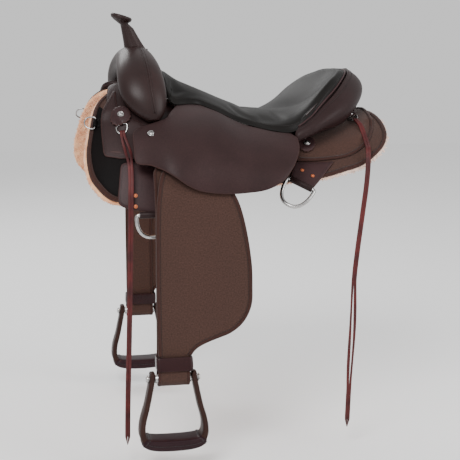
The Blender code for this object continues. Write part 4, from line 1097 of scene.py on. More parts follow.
BAR_OUTLINE = [
    (-0.282, 0.080), (-0.268, 0.048), (-0.200, 0.042), (-0.100, 0.042), (0.100, 0.040),
    (0.235, 0.038), (0.275, 0.060), (0.282, 0.100), (0.262, 0.145), (0.200, 0.160),
    (0.050, 0.150), (-0.080, 0.152), (-0.200, 0.168), (-0.262, 0.165), (-0.282, 0.125),
]
BAR_LAP = 0.0030
BAR_SKIN = 0.0011
bar_line = inset(cut(BAR_OUTLINE), -BAR_LAP)
# A near-black sheet over the front of each skirt below the front jockey: partly the skirt's dark front,
# partly painted shade under the jockey and swell.
shade_patch_line = inset(skirt_line, SKIRT_BAND + 0.0003)
shade_patch_line = shade_patch_line[(shade_patch_line[:, 0] < -0.195) & (shade_patch_line[:, 1] > 0.10)]
for name, side in SIDES:
    place = lying(BACK, side)
    low, high = BAR_IN - 0.0004, raised(over_bar, BAR_SKIN)
    wrap = panel(f"bar_leather_{name}", bar_line, place, low, high, back_leather, 0.008, 0.003)
    stand_for(wrap, "saddle", "jockey_leather")
    low, high = SKIRT_OUT - 0.001, SKIRT_OUT + 0.0005
    shade_patch = panel(f"skirt_liner_{name}", shade_patch_line, place, low, high, black_leather, 0.008, 0.001)
    stand_for(shade_patch, "saddle", "skirt_cordura")
    apron = panel(f"front_jockey_leather_{name}", front_line, place, over_bar, over_cover, body_leather)
    stand_for(apron, "saddle", "front_jockey_leather", f"front_jockey_{name}")
    rows = [traced(place, inset(front_line, FRONT_SEAM), raised(over_cover, ON_LEATHER))]
    stitch(f"front_jockey_stitches_{name}", rows, "saddle", "front_jockey_leather")
    low, high = raised(over_cover, -0.0002), raised(over_cover, 0.0003)
    slit = panel(f"strap_slot_{name}", lens(SLOT, SLOT_HALF), place, low, high, dark_leather, 0.003, 0.0003)
    stand_for(slit, "saddle", "front_jockey_leather")
    cloth = panel(f"rear_jockey_cloth_{name}", rear_line, place, over_bar, over_cover, nylon)
    stand_for(cloth, "saddle", "rear_jockey_cordura", f"rear_jockey_{name}")
    section = binding_section(REAR_BAND, over_bar, over_cover)
    band = trim(f"rear_jockey_binding_{name}", rear_line, place, section, binding)
    stand_for(band, "saddle", "rear_jockey_cordura")
    rows = [traced(place, inset(rear_line, REAR_SEAM), raised(over_cover, ON_BAND))]
    stitch(f"rear_jockey_stitches_{name}", rows, "saddle", "rear_jockey_cordura")
print("front jockey:", round(float(np.ptp(front_line[:, 1])), 3), "m from top to bottom, laid flat")

# %% [markdown]
# The seat jockey is one broad sheet of leather. Its front lobe is screwed down, and the sheet
# runs on without a break from the saddle to the flap.

# %% Seat jockeys
HINGE_Y = 0.194
JOCKEY = 0.004
SEAM_LINE = [
    (-0.1400, 0.110), (-0.1120, 0.100), (-0.0880, 0.102), (-0.0640, 0.124), (-0.0380, 0.138),
    (-0.0120, 0.148), (0.0240, 0.163), (0.0590, 0.180), (0.0970, 0.1845),
]
SEAM_GAP = 0.0020
SEAM_FROM = -0.155
LOBE = [
    (-0.2440, 0.262), (-0.2440, 0.240), (-0.2425, 0.212), (-0.232, 0.199), (-0.210, 0.195),
    (-0.187, 0.191), (-0.170, 0.181), (-0.162, 0.163),
]
FLAP = [
    (0.100, 0.1985), (0.1065, 0.211), (0.102, 0.250), (0.088, 0.287), (0.072, 0.315), (0.055, 0.337),
    (0.023, 0.356), (-0.012, 0.371), (-0.050, 0.381), (-0.105, 0.381), (-0.145, 0.369),
    (-0.172, 0.350), (-0.195, 0.327), (-0.217, 0.304), (-0.2425, 0.287), (-0.2440, 0.262),
]
seam = [(x, flank_s(x, y) + SEAM_GAP) for x, y in open_curve(SEAM_LINE)]
seam = [p for p in seam if p[0] > SEAM_FROM]
jockey_line = np.vstack([seam, open_curve(FLAP), open_curve(LOBE)[1:]])
jockey_line = anticlockwise(even(jockey_line, CUT_STEP, True))

for name, side in SIDES:
    place = lying(FLANK, side)
    title = f"seat_jockey_leather_{name}"
    sheet = panel(title, jockey_line, place, -JOCKEY, 0.0, body_leather, 0.007, 0.0016)
    fixed, loose = (0, side * 0.187, 0.05), (0.007, side * 0.211, 0.05)
    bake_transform(sheet)
    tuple(fixed)
    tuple(loose)
    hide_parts(f"seat_jockey_{name}", f"jockey_flap_{name}")
print("jockey outline points:", len(jockey_line))

# %% [markdown]
# The fender hangs between the rider's leg and the horse: a long nylon panel with a bound and
# stitched edge. It leans in at the top, under the jockey. It is a panel like the skirt, only its
# place is given by height and depth, because it hangs free.

# %% Fenders
FENDER_OUTLINE = [
    (-0.1860, -0.0315), (-0.1965, -0.0465), (-0.2035, -0.075), (-0.2075, -0.116), (-0.209, -0.235),
    (-0.2085, -0.360), (-0.2065, -0.424, 1), (-0.1415, -0.426, 1), (-0.1415, -0.417, 1),
    (-0.132, -0.404), (-0.118, -0.3945), (-0.098, -0.386), (-0.078, -0.379), (-0.058, -0.3715),
    (-0.037, -0.3565), (-0.022, -0.336), (-0.013, -0.310), (-0.012, -0.277), (-0.0135, -0.230),
    (-0.021, -0.176), (-0.032, -0.126), (-0.045, -0.090), (-0.060, -0.070), (-0.090, -0.054),
    (-0.130, -0.041), (-0.162, -0.0335),
]
STIRRUP_Y = 0.300
FENDER_Y = STIRRUP_Y - 0.002
FENDER = 0.005
FENDER_LEAN = [(-0.105, 0.0), (-0.085, -0.0015), (-0.068, -0.007), (-0.050, -0.015), (-0.024, -0.031)]
FENDER_BAND = 0.0065
FENDER_SEAM = 0.0078
FENDER_FOOT = -0.4195
fender_line = cut(FENDER_OUTLINE)
foot = [k for k, (x, z) in enumerate(fender_line) if z < FENDER_FOOT]
first = next(k for k in foot if (k - 1) % len(fender_line) not in foot)
fender_edge = np.roll(fender_line, -(first + len(foot)), 0)[: len(fender_line) - len(foot)]


def hanging(side):
    """Places points on the fender: x along, z up, with the depth outwards."""

    def place(x, z, depth):
        lean = np.interp(z, *zip(*FENDER_LEAN))
        return np.c_[x, side * (FENDER_Y + lean + depth), z]

    return place


for name, side in SIDES:
    place = hanging(side)
    body = f"fender_assembly_{name}"
    low, high = 0.0006, FENDER - 0.0008
    cloth = panel(f"fender_cloth_{name}", fender_line, place, low, high, nylon)
    stand_for(cloth, body, "fender_cordura", f"fender_{name}")
    section = binding_section(FENDER_BAND, low, high)
    band = trim(f"fender_binding_{name}", fender_edge, place, section, binding, False)
    stand_for(band, body, "fender_cordura")
    row = fender_edge - FENDER_SEAM * normals_of(fender_edge, False)
    stitch(f"fender_stitches_{name}", [traced(place, row, FENDER - 0.0006)], body, "fender_cordura")
print("fender outline points:", len(fender_line))

# %% [markdown]
# The stirrup leather comes down behind the fender, runs round the spacer on the stirrup's bolt
# and goes up again. A hobble strap holds the two runs together above the stirrup. The strap is
# cut flat and laid along its path, so its weave and its binding follow every turn.

# %% Stirrup leathers and hobble straps
STIRRUP_X = -0.178
BOLT_Z = -0.462
LOOP_R = 0.0135
STRAP = 0.004
LEATHER_TURN = [
    (0.0, 0.0490), (0.202, 0.0345), (0.412, 0.0130), (0.623, -0.0140), (0.808, -0.0430),
    (0.934, -0.0750), (0.998, -0.1100), (1.0, -0.1500), (1.0, -0.3850),
]
LEATHER_DOWN = [(-0.0095, -0.4250), (-0.0132, -0.4500)]
LEATHER_UP = [(0.0128, -0.4480), (0.0078, -0.4225)]
LEATHER_X = (-0.2095, -0.1450)
NECK_X = -0.1885
NECK_LENGTHS = (0.085, 0.130)
STRAP_BAND = 0.0055
STRAP_SEAM = 0.0075
SEAM_FROM_TOP = 0.15


def leather_path():
    """The leather's middle line, as half width and height."""
    start, hang = HINGE_Y - 0.018, FENDER_Y - STRAP / 2 - 0.0012
    path = [(start + share * (hang - start), z) for share, z in LEATHER_TURN]
    path += [(STIRRUP_Y + out, z) for out, z in LEATHER_DOWN]
    for k in range(17):
        turn = math.pi * k / 16
        path.append((STIRRUP_Y - LOOP_R * math.cos(turn), BOLT_Z - LOOP_R * math.sin(turn)))
    return even(path + [(STIRRUP_Y + out, z) for out, z in LEATHER_UP], 0.003)


def strap_placer(side):
    """Places points on the stirrup leather: x across, the way down its length, the depth outwards."""
    path = leather_path()
    length = way_along(path)
    run = units(np.gradient(path, axis=0))

    def place(x, way, depth):
        y, z, run_y, run_z = (np.interp(way, length, axis) for axis in (*path.T, *run.T))
        return np.c_[x, side * (y - depth * run_z), z + depth * run_y]

    return place, length[-1]


for name, side in SIDES:
    place, end = strap_placer(side)
    body = f"fender_assembly_{name}"
    front, rear = LEATHER_X
    line = [(NECK_X, 0.0), (rear, 0.0), (rear, end), (front, end)]
    line += [(front, NECK_LENGTHS[1]), (NECK_X, NECK_LENGTHS[0])]
    line = anticlockwise(even(line, CUT_STEP, True))
    low = 0.0003 - STRAP / 2
    strap = panel(f"stirrup_strap_{name}", line, place, low, -low, nylon, 0.006)
    stand_for(strap, body, "stirrup_leather", f"stirrup_leather_{name}")
    section = binding_section(STRAP_BAND, low, STRAP / 2 - 0.0006)
    band = trim(f"stirrup_strap_binding_{name}", line, place, section, binding)
    stand_for(band, body, "stirrup_leather")
    way = np.arange(SEAM_FROM_TOP, end - 0.004, 0.003)
    rows = [place(np.full(len(way), x), way, STRAP / 2) for x in (front + STRAP_SEAM, rear - STRAP_SEAM)]
    stitch(f"stirrup_strap_stitches_{name}", rows, body, "stirrup_leather")
print("stirrup leather length:", round(end, 3), "m")

HOBBLE_Z = (-0.4435, -0.4165)
HOBBLE = 0.0025
HOBBLE_LEAN = 0.0095
HOBBLE_CORNER = 0.006
HOBBLE_X = (LEATHER_X[0] - 0.001 - HOBBLE, LEATHER_X[1] + 0.0055 + HOBBLE)
HOBBLE_Y = (STIRRUP_Y - 0.0185 - HOBBLE, STIRRUP_Y + 0.0165 + HOBBLE)


def band_outline():
    """The hobble strap's outline seen from above: a box with round corners."""
    left, right, low, high = (*HOBBLE_X, *HOBBLE_Y)
    inner = HOBBLE_CORNER
    middles = [(right - inner, high - inner), (left + inner, high - inner)]
    middles += [(left + inner, low + inner), (right - inner, low + inner)]
    outline = []
    for quarter, (x, y) in enumerate(middles):
        for k in range(7):
            turn = math.pi / 2 * (quarter + k / 6)
            outline.append((x + inner * math.cos(turn), y + inner * math.sin(turn)))
    return even(outline, CUT_STEP, True)


def hobble_band(name, side):
    """The strap round the leathers, pulled in by its lean at the top of its outer face."""
    outline = band_outline()
    out = normals_of(outline)
    low, high = HOBBLE_Z
    half, middle = (high - low) / 2, (high + low) / 2
    rings = []
    for k in range(25):
        turn = -math.pi / 2 + math.pi * k / 24
        rise = math.cos(turn) ** 0.35 if k not in (0, 24) else 0.0
        rings.append((outline - out * HOBBLE * (1 - rise), middle + half * math.sin(turn)))
    rings += [(outline - out * HOBBLE, z) for z in (high, low)]
    placed = []
    for spot, z in rings:
        outwards = np.clip((spot[:, 1] - HOBBLE_Y[0]) / (HOBBLE_Y[1] - HOBBLE_Y[0]), 0, 1)
        pull = HOBBLE_LEAN * (outwards * (z - low) / (high - low))
        placed.append(np.c_[spot[:, 0], side * (spot[:, 1] - pull), np.full(len(spot), z)])
    return loft(name, placed, hobble_leather, closed=True, flat=False)


for name, side in SIDES:
    strap = hobble_band(f"hobble_band_{name}", side)
    stand_for(strap, f"fender_assembly_{name}", "strap_leather", f"hobble_strap_{name}")
print("hobble straps reach", round(HOBBLE_Z[1] - BOLT_Z, 4), "m above the bolts")

# %% [markdown]
# The stirrup is a bell-shaped frame covered in leather. A darker tread cover is laced round its
# foot, and a bolt with nickel heads joins the two arms. Rings along its line give every place its
# own thickness, which a bevelled curve couldn't do.

# %% Stirrups
STIRRUP = [
    (0.0435, -0.4495, 0.0105, 0.024), (0.0440, -0.4620, 0.0110, 0.028), (0.0545, -0.5150, 0.0110, 0.034),
    (0.0625, -0.5450, 0.0115, 0.039), (0.0655, -0.5650, 0.0120, 0.042), (0.0640, -0.5820, 0.0140, 0.045),
    (0.0550, -0.5940, 0.0170, 0.048), (0.0380, -0.5985, 0.0190, 0.050), (0.0150, -0.6000, 0.0200, 0.050),
]
rows = [(-x, z, t, d) for x, z, t, d in STIRRUP] + [(x, z, t, d) for x, z, t, d in reversed(STIRRUP)]
STIRRUP_ROWS = smooth(np.array(rows), 5, False)
RING_POINTS = 36


def stirrup_rings(side, grow, first=0, last=None, power=4.0):
    """Rounded rings along the stirrup's line, swollen by an amount."""
    line = np.c_[STIRRUP_X + STIRRUP_ROWS[:, 0], STIRRUP_ROWS[:, 1]]
    run = units(np.gradient(line, axis=0))
    rings = []
    for (x, z), (rx, rz), (_, _, thick, deep) in list(zip(line, run, STIRRUP_ROWS))[first:last]:
        ring = boxy(thick / 2 + grow, deep / 2 + grow, power, RING_POINTS)
        rings.append(np.c_[x - rz * ring[:, 0], side * STIRRUP_Y + ring[:, 1], z + rx * ring[:, 0]])
    return np.array(rings)


def domed_ends(rings, reach=0.003):
    """The rings with a rounded closing at both ends."""
    made = list(rings)
    for end in (0, -1):
        ring, near = rings[end], rings[1 if end == 0 else -2]
        middle = ring.mean(0)
        way = unit(middle - near.mean(0))
        caps = [
            middle + (ring - middle) * math.cos(turn) + way * reach * math.sin(turn)
            for turn in (0.5, 0.9, 1.2, 1.45)
        ]
        made = caps[::-1] + made if end == 0 else made + caps
    return made


CREASE = 28
TREAD_POWER = 5.0
TREAD_WALL = 0.0028
LAPS = ((0.0004, CREASE - 1), (0.0018, CREASE))
LACING_LIFT = 0.0031
LACING_AT = (9, 27)
SEAMS_AT = (3, 15, 21, 33)
ARM_FACE = 0.0515
for name, side in SIDES:
    body = f"stirrup_{name}"
    arm = loft(f"stirrup_shell_{name}", domed_ends(stirrup_rings(side, 0.0)), stirrup_leather)
    stand_for(arm, body, "stirrup_leather", f"stirrup_frame_{name}")
    total = len(STIRRUP_ROWS)
    cover = stirrup_rings(side, TREAD_WALL, CREASE, total - CREASE, TREAD_POWER)
    laps = [stirrup_rings(side, grow, k, k + 1, TREAD_POWER)[0] for grow, k in LAPS]
    ends = [stirrup_rings(side, grow, total - 1 - k, total - k, TREAD_POWER)[0] for grow, k in LAPS[::-1]]
    tread = loft(f"tread_leather_{name}", [*laps, *cover, *ends], tread_leather)
    stand_for(tread, body, "tread_leather", f"tread_cover_{name}")
    rim = stirrup_rings(side, LACING_LIFT, CREASE + 1, total - CREASE - 1, TREAD_POWER)
    laces = [np.vstack([ring, ring[:1]]) for ring in (rim[0], rim[-1])] + [rim[:, k] for k in LACING_AT]
    stitch(f"tread_lacing_{name}", laces, body, "tread_leather", 0.0052, 0.0046, 0.0013)
    rim = stirrup_rings(side, ON_LEATHER, 2, total - 2)
    rows = [rim[:, k] for k in SEAMS_AT]
    stitch(f"stirrup_stitches_{name}", rows, body, "stirrup_leather", 0.0040, 0.0030, 0.0008)
    centre = (STIRRUP_X, side * STIRRUP_Y, BOLT_Z)
    head = [
        (0.0052, 0.0020), (0.0048, 0.0048), (0.0038, 0.0058), (0.0024, 0.0060),
        (0.0022, 0.0082), (0.0008, 0.0084), (0.0004, 0.0080), (0.0004, 0.0050),
    ]
    steps = [(-ARM_FACE - way, radius) for way, radius in head]
    steps += [(-0.0375, 0.0050), (-0.0373, 0.0088), (-0.0365, 0.0092)]
    steps += [(-way, radius) for way, radius in steps[::-1]]
    bolt = turned(f"stirrup_pin_{name}", steps, centre, (1, 0, 0), nickel)
    bolt.data.set_sharp_from_angle(angle=math.radians(38))
    stand_for(bolt, body, "steel", f"stirrup_bolt_{name}")
print("stirrup rings:", len(STIRRUP_ROWS))

# %% [markdown]
# The swell is the padded front arch, covered in leather that is pulled over the fork. One seam
# runs across it with a row of stitches on each side. It could be sculpted, but a loft over the
# fork's own sections is sure to cover it evenly.

# %% Swell
FORK = [
    (0.166, 0.057, -0.196, 0.014, 0.010), (0.159, 0.075, -0.203, 0.033, 0.018),
    (0.143, 0.104, -0.211, 0.047, 0.026), (0.119, 0.134, -0.2145, 0.0495, 0.029),
    (0.086, 0.159, -0.216, 0.047, 0.029), (0.043, 0.176, -0.2165, 0.042, 0.028),
    (0.000, 0.182, -0.2165, 0.039, 0.028),
]
rows = [(-y, *rest) for y, *rest in FORK] + [(y, *rest) for y, *rest in reversed(FORK[:-1])]
FORK_ROWS = smooth(np.array(rows), 7, False)


def fork_spot(row, run, turn, lift=0.0):
    """A point on the swell at an angle round its section, zero at the front."""
    y, z, x, half, thick = row
    out = unit(np.array([0, -run[1], run[0]]))
    along = -(half + lift) * math.cos(turn)
    up = (thick + lift) * math.sin(turn)
    return np.array([x + along, y, z]) + up * out


FORK_POINTS = 56
WELT_DEGREES = {"welt": 106, "ahead": 100, "behind": 112}
WELT_REACH = (0.020, 0.162)
FORK_RUNS = np.gradient(FORK_ROWS[:, :2], axis=0)
rings = []
for row, run in zip(FORK_ROWS, FORK_RUNS):
    turns = np.linspace(0, 2 * math.pi, FORK_POINTS, endpoint=False)
    rings.append([fork_spot(row, run, turn) for turn in turns])
swell = loft("swell_leather_cover", domed_ends(np.array(rings), 0.002), swell_leather)
stand_for(swell, "saddle", "swell_leather", "swell_cover")
for name, side in SIDES:
    picked = [k for k, row in enumerate(FORK_ROWS) if WELT_REACH[0] < side * row[0] < WELT_REACH[1]]
    lines = {}
    for label, degrees in WELT_DEGREES.items():
        turn = math.radians(degrees)
        lines[label] = np.array([fork_spot(FORK_ROWS[k], FORK_RUNS[k], turn, ON_LEATHER) for k in picked])
    welt = wire(f"swell_welt_{name}", even(lines["welt"], 0.003), 0.0013, swell_leather, sides=10)
    stand_for(welt, "saddle", "swell_leather")
    rows = [lines["ahead"], lines["behind"]]
    stitch(f"swell_stitches_{name}", rows, "saddle", "swell_leather", 0.0045, 0.0034, 0.0009)
print("swell faces:", len(swell.data.polygons))

# %% [markdown]
# The horn is a neck wrapped in soft leather, gathered into small pleats under a round cap. The
# cap's rim is bound and stitched. The pleats are a wave in the radius of each ring: thirteen at
# once, and they fade out towards the foot.

# %% Horn
HORN_FOOT = np.array([-0.2145, 0, 0.196])
HORN_NECK = np.array([-0.2330, 0, 0.2520])
HORN_CAP = np.array([-0.2430, 0, 0.2705])
HORN_TILT = math.radians(16.5)
HORN_POINTS = 64
FOOT_RADIUS = 0.0225
NECK_RADIUS = 0.0125
CAP_RADIUS = 0.0235
NECK_REAR = 0.38
NECK_PLEATS = 0.026
CAP_RINGS = (
    (0.62, -0.0082, 0.026), (0.80, -0.0056, 0.018), (0.93, -0.0032, 0.008), (1.0, -0.0010, 0),
    (1.022, 0.0010, 0), (1.0, 0.0030, 0), (0.95, 0.0043, 0), (0.90, 0.0046, 0), (0.70, 0.0056, 0),
    (0.40, 0.0062, 0), (0.12, 0.0064, 0),
)


def horn_ring(centre, radius, tilt, lift=0.0, pleats=0.0, rear=0.0):
    """A ring square to the tilted horn, with pleats, and drawn out to the rear."""
    forward = np.array([-math.cos(tilt), 0, math.sin(tilt)])
    up = np.array([math.sin(tilt), 0, math.cos(tilt)])
    turn = np.linspace(0, 2 * math.pi, HORN_POINTS, endpoint=False)
    reach = radius * (1 + pleats * (np.cos(turn * 13 + 0.6 * np.sin(turn * 3)) - 0.4))
    reach = reach * (1 + rear * np.clip(-np.cos(turn), 0, 1) ** 1.5)
    flat = np.cos(turn)[:, None] * forward + np.sin(turn)[:, None] * np.array([0, 1.0, 0])
    return centre + lift * up + reach[:, None] * flat


rings = [horn_ring(HORN_FOOT + np.array([0.003, 0, -0.014]), 0.0260, 0, rear=0.25)]
for k in range(13):
    share = k / 12
    radius = FOOT_RADIUS + (NECK_RADIUS - FOOT_RADIUS) * share**0.72
    middle = HORN_FOOT + share * (HORN_NECK - HORN_FOOT)
    rings.append(horn_ring(middle, radius, HORN_TILT * share, 0, NECK_PLEATS * share, NECK_REAR))
for share, lift, pleats in CAP_RINGS:
    rear = 0.22 if lift < -0.006 else 0.06 if lift < -0.003 else 0.0
    rings.append(horn_ring(HORN_CAP, CAP_RADIUS * share, HORN_TILT, lift, pleats, rear))
horn = loft("horn_leather_cover", rings, swell_leather)
stand_for(horn, "saddle", "horn_leather", "horn_cover")
rim = horn_ring(HORN_CAP, 0.0208, HORN_TILT, 0.0050)
under = horn_ring(HORN_CAP, 0.0216, HORN_TILT, -0.0040)
rows = [np.vstack([ring, ring[:1]]) for ring in (rim, under)]
stitch("horn_cap_stitches", rows, "saddle", "horn_leather", 0.0036, 0.0028, 0.0008)
collar = horn_ring(HORN_FOOT + np.array([-0.001, 0, 0.0065]), 0.0210, HORN_TILT * 0.15, rear=NECK_REAR)
welt = wire("horn_foot_welt", collar, 0.0016, swell_leather, True)
stand_for(welt, "saddle", "horn_leather")
print("horn rings:", len(rings))

# %% [markdown]
# The seat is one cushion drawn over foam. Ribs run from its middle line to its seam; each gives
# the crest of the roll and the seam's place. The ribs follow the frame's, but at the very front
# they stand up to 11 mm higher, and a smooth curve joins them. Subdividing a coarse cage would be
# easier to draw, yet it wouldn't keep to the seams. A cloth simulation then swells the leather.

# %% Seat shape
SEAT_RIBS = [
    (-0.148, -0.157, 0.000, 0.160, -0.1610, 0.000, 0.142, 0.0),
    (-0.148, -0.156, 0.030, 0.156, -0.1605, 0.038, 0.138, 0.0),
    (-0.146, -0.154, 0.058, 0.140, -0.1590, 0.072, 0.122, 0.0),
    (-0.140, -0.148, 0.078, 0.119, -0.1565, 0.104, 0.099, 0.0),
    (-0.130, -0.137, 0.078, 0.109, -0.1400, 0.110, 0.087, 0.0),
    (-0.112, -0.113, 0.070, 0.109, -0.1120, 0.100, 0.000, 0.0),
    (-0.088, -0.088, 0.073, 0.104, -0.0880, 0.102, 0.000, 0.0),
    (-0.060, -0.062, 0.086, 0.093, -0.0640, 0.124, 0.000, 0.0),
    (-0.030, -0.034, 0.102, 0.080, -0.0380, 0.138, 0.000, 0.0),
    (0.000, -0.008, 0.116, 0.068, -0.0120, 0.148, 0.000, 0.0),
    (0.035, 0.028, 0.133, 0.058, 0.0240, 0.163, 0.000, 0.0),
    (0.060, 0.062, 0.148, 0.053, 0.0590, 0.180, 0.000, 0.0),
    (0.072, 0.100, 0.160, 0.058, 0.0970, 0.1845, 0.000, 0.3),
    (0.078, 0.135, 0.160, 0.080, 0.1340, 0.1810, 0.046, 1.0),
    (0.082, 0.168, 0.145, 0.112, 0.1720, 0.1600, 0.076, 1.0),
    (0.084, 0.202, 0.114, 0.139, 0.2090, 0.1260, 0.102, 1.0),
    (0.085, 0.231, 0.070, 0.154, 0.2420, 0.0790, 0.128, 1.0),
    (0.085, 0.245, 0.035, 0.158, 0.2600, 0.0390, 0.142, 1.0),
    (0.085, 0.250, 0.000, 0.159, 0.2660, 0.0000, 0.147, 1.0),
]
SPINE = np.array([
    (-0.157, 0.161), (-0.121, 0.136), (-0.101, 0.126), (-0.073, 0.113), (-0.032, 0.0945),
    (0.005, 0.0800), (0.028, 0.0725), (0.059, 0.0680), (0.085, 0.0665),
])
SEAT_FOAM = 0.019
CREST_DROP = 0.013
SEAT_EDGE = 0.0045
BOARD = 0.013
ribs = []
for rib in SEAT_RIBS:
    rib = list(rib)
    if rib[6] == 0:
        rib[6] = FLANK.place(rib[4], flank_s(rib[4], rib[5]), 0)[0, 2]
    ribs.append(rib)
RIB_STEPS = 5
SEAT_ROWS = smooth(np.array(ribs), RIB_STEPS, False)
SEAT_ROWS[:, 7] = np.clip(SEAT_ROWS[:, 7], 0, 1)
spine_line = open_curve(SPINE, 8)


def seat_point(row, share, drop=0.0):
    """A point of the seat's top between its middle line and crest."""
    spine_x = min(row[0], SPINE[-1][0])
    start = np.array([spine_x, 0, np.interp(spine_x, *spine_line.T)])
    here = start + share * (row[1:4] - start)
    here[2] = start[2] + (row[3] - start[2]) * share ** (2.0 + 0.5 * row[7]) - drop
    return here


def seat_out(row):
    """The level direction in which a rib runs outwards."""
    return unit(np.array([row[4] - row[0], row[5], 0]))


SHARES = np.linspace(0, 0.87, 13) ** 0.95
WELT_KEYS = ((0.0, 0.86), (12.0, 0.86), (13.0, 0.83), (14.5, 0.77), (18.0, 0.74))
ROLL_STEPS = 7
WELT_COLUMN = len(SHARES) + ROLL_STEPS


def roll_of(row):
    """The roll's curve from just inside the crest to the seam, and where the welt crosses it."""
    crest, seam_at = row[1:4], row[4:7]
    bulge = (crest + seam_at) / 2 + seat_out(row) * 0.006 + np.array([0, 0, 0.004])
    curve = open_curve([seat_point(row, 0.90), seat_point(row, 0.95), crest, bulge, seam_at], 10)
    length = way_along(curve)
    return curve, length / length[-1]


def roll_at(row, share):
    """A point on the roll at a share of its curve's length."""
    curve, way = roll_of(row)
    return np.array([np.interp(share, way, axis) for axis in curve.T])


def seat_strip(row, welt_at):
    """Points round one rib from the middle line over the crest to the seam, and back below."""
    crest, seam_at, wrap = row[1:4], row[4:7], row[7]
    out = seat_out(row)
    top = [seat_point(row, share) for share in SHARES]
    top += [roll_at(row, welt_at * k / ROLL_STEPS) for k in range(ROLL_STEPS + 1)]
    top += [roll_at(row, welt_at + (1 - welt_at) * k / 5) for k in range(1, 6)]
    wall = seam_at - out * SEAT_EDGE
    wall[2] = seam_at[2] - 0.0005 * (1 - wrap)
    lid_out = wall.copy()
    lid_out[2] = wall[2] + wrap * (crest[2] - CREST_DROP - wall[2])
    inner = seam_at - out * (SEAT_EDGE + BOARD + 0.0012)
    lid_in = wall + wrap * (inner - wall)
    lid_in[2] = lid_out[2] + (1 - wrap) * 0.0003
    deep = [seat_point(row, share, SEAT_FOAM) for share in (0.82, 0.58, 0.3, 0.0)]
    if wrap < 0.02:
        lid_in = lid_out + 0.25 * (deep[0] - lid_out)
    return np.array(top + [wall, lid_out, lid_in] + deep), len(top)


WELT_AT = np.interp(np.arange(len(SEAT_ROWS)) / RIB_STEPS, *zip(*WELT_KEYS))
strips, tops = zip(*[seat_strip(row, welt_at) for row, welt_at in zip(SEAT_ROWS, WELT_AT)])
near = np.array(strips) * (1, -1, 1)
loop = np.concatenate([near, near[::-1][1:-1] * (1, -1, 1)])
count, columns = loop.shape[:2]
faces, of_cantle = [], []
TOP_COLUMNS = tops[0]
WRAPPED_FROM = 12 * RIB_STEPS + 2
for a in range(count):
    b = (a + 1) % count
    back = WRAPPED_FROM <= min(a, 2 * len(SEAT_ROWS) - 3 - a)
    for k in range(columns - 1):
        faces.append((a * columns + k, a * columns + k + 1, b * columns + k + 1, b * columns + k))
        of_cantle.append(int(back and WELT_COLUMN <= k < TOP_COLUMNS - 1))
mesh = bpy.data.meshes.new("seat_start")
mesh.from_pydata([tuple(p) for p in loop.reshape(-1, 3)], [], faces)
mesh.materials.append(seat_leather)
mesh.materials.append(back_leather)
mesh.polygons.foreach_set("material_index", of_cantle)
kept = bmesh.new()
kept.from_mesh(mesh)
column = kept.verts.layers.int.new("column")
kept.verts.ensure_lookup_table()
for k, v in enumerate(kept.verts):
    v[column] = k % columns
bmesh.ops.remove_doubles(kept, verts=kept.verts, dist=1e-5)
bmesh.ops.recalc_face_normals(kept, faces=kept.faces)
kept.to_mesh(mesh)
kept.free()
mesh.polygons.foreach_set("use_smooth", [True] * len(mesh.polygons))
seat = new_object("seat_cushion", mesh)
print("seat faces:", len(mesh.polygons), "columns:", columns, "of which on top:", TOP_COLUMNS)


# %% [markdown]
# Leather over foam is tight at the seams and full between them. That form could be sculpted, but
# cloth under pressure finds it by itself. It is held at the seam and may move 3 mm at most.


# %% Seat cushion, blown up
def rows_of(mesh, what):
    """The places or the normals of a mesh's points, one to a row."""
    made = np.zeros(len(mesh.vertices) * 3)
    mesh.vertices.foreach_get(what, made)
    return made.reshape(-1, 3)


def swell_up(piece, free, pressure, cap, sink):
    """Lets the free points of a closed piece swell as cloth under pressure, up to a cap."""
    data = piece.data
    start = rows_of(data, "co") - rows_of(data, "normal") * sink * free[:, None]
    data.vertices.foreach_set("co", start.ravel())
    held = piece.vertex_groups.new(name="held")
    for k, loose in enumerate(free):
        held.add([k], float(1 - loose), "REPLACE")
    cloth = piece.modifiers.new("cloth", "CLOTH")
    settings = cloth.settings
    settings.use_pressure = True
    settings.uniform_pressure_force = pressure
    settings.effector_weights.gravity = 0
    settings.vertex_group_mass = "held"
    settings.mass = 0.15
    settings.tension_stiffness = 15
    settings.bending_stiffness = 2
    cloth.collision_settings.use_collision = False
    for step in range(1, 21):
        bpy.context.scene.frame_set(step)
    depsgraph = bpy.context.evaluated_depsgraph_get()
    move = rows_of(piece.evaluated_get(depsgraph).data, "co") - start
    size = np.linalg.norm(move, axis=1)
    move *= np.minimum(1, cap / np.maximum(size, 1e-9))[:, None]
    piece.modifiers.remove(cloth)
    piece.vertex_groups.remove(held)
    bpy.context.scene.frame_set(1)
    data.vertices.foreach_set("co", (start + move).ravel())
    data.update()
    return float(size.max()), float(np.median(size[free > 0.9]))


columns_at = np.zeros(len(mesh.vertices), int)
mesh.attributes["column"].data.foreach_get("value", columns_at)
free = np.where(columns_at < TOP_COLUMNS, 1.0, 0.0)
free = np.where((columns_at >= TOP_COLUMNS - 2) & (columns_at < TOP_COLUMNS), 0.3, free)
free[columns_at == TOP_COLUMNS - 1] = 0.0
print("seat swelled by", swell_up(seat, free, 3.0, 0.003, 0.0017))
finer = seat.modifiers.new("finer", "SUBSURF")
finer.levels = 1
finer.render_levels = 1
stand_for(seat, "saddle", "seat_leather", "seat")

# %% [markdown]
# A welt follows the seam where the cushion meets the cantle, and rows of stitches run beside it.
# The front of the seat is sewn down in two short rows. Lines drawn by hand would float or sink,
# so each is dropped onto the finished cushion.

# %% Seat seams
bpy.context.view_layer.update()
SEAT_SKIN = BVHTree.FromObject(seat, bpy.context.evaluated_depsgraph_get())


def on_seat(points, lift):
    """Points moved onto the finished cushion, and a little above it."""
    made = []
    for point in points:
        found, out, _, _ = SEAT_SKIN.find_nearest(Vector(point))
        made.append(np.array(found + out * lift))
    return np.array(made)


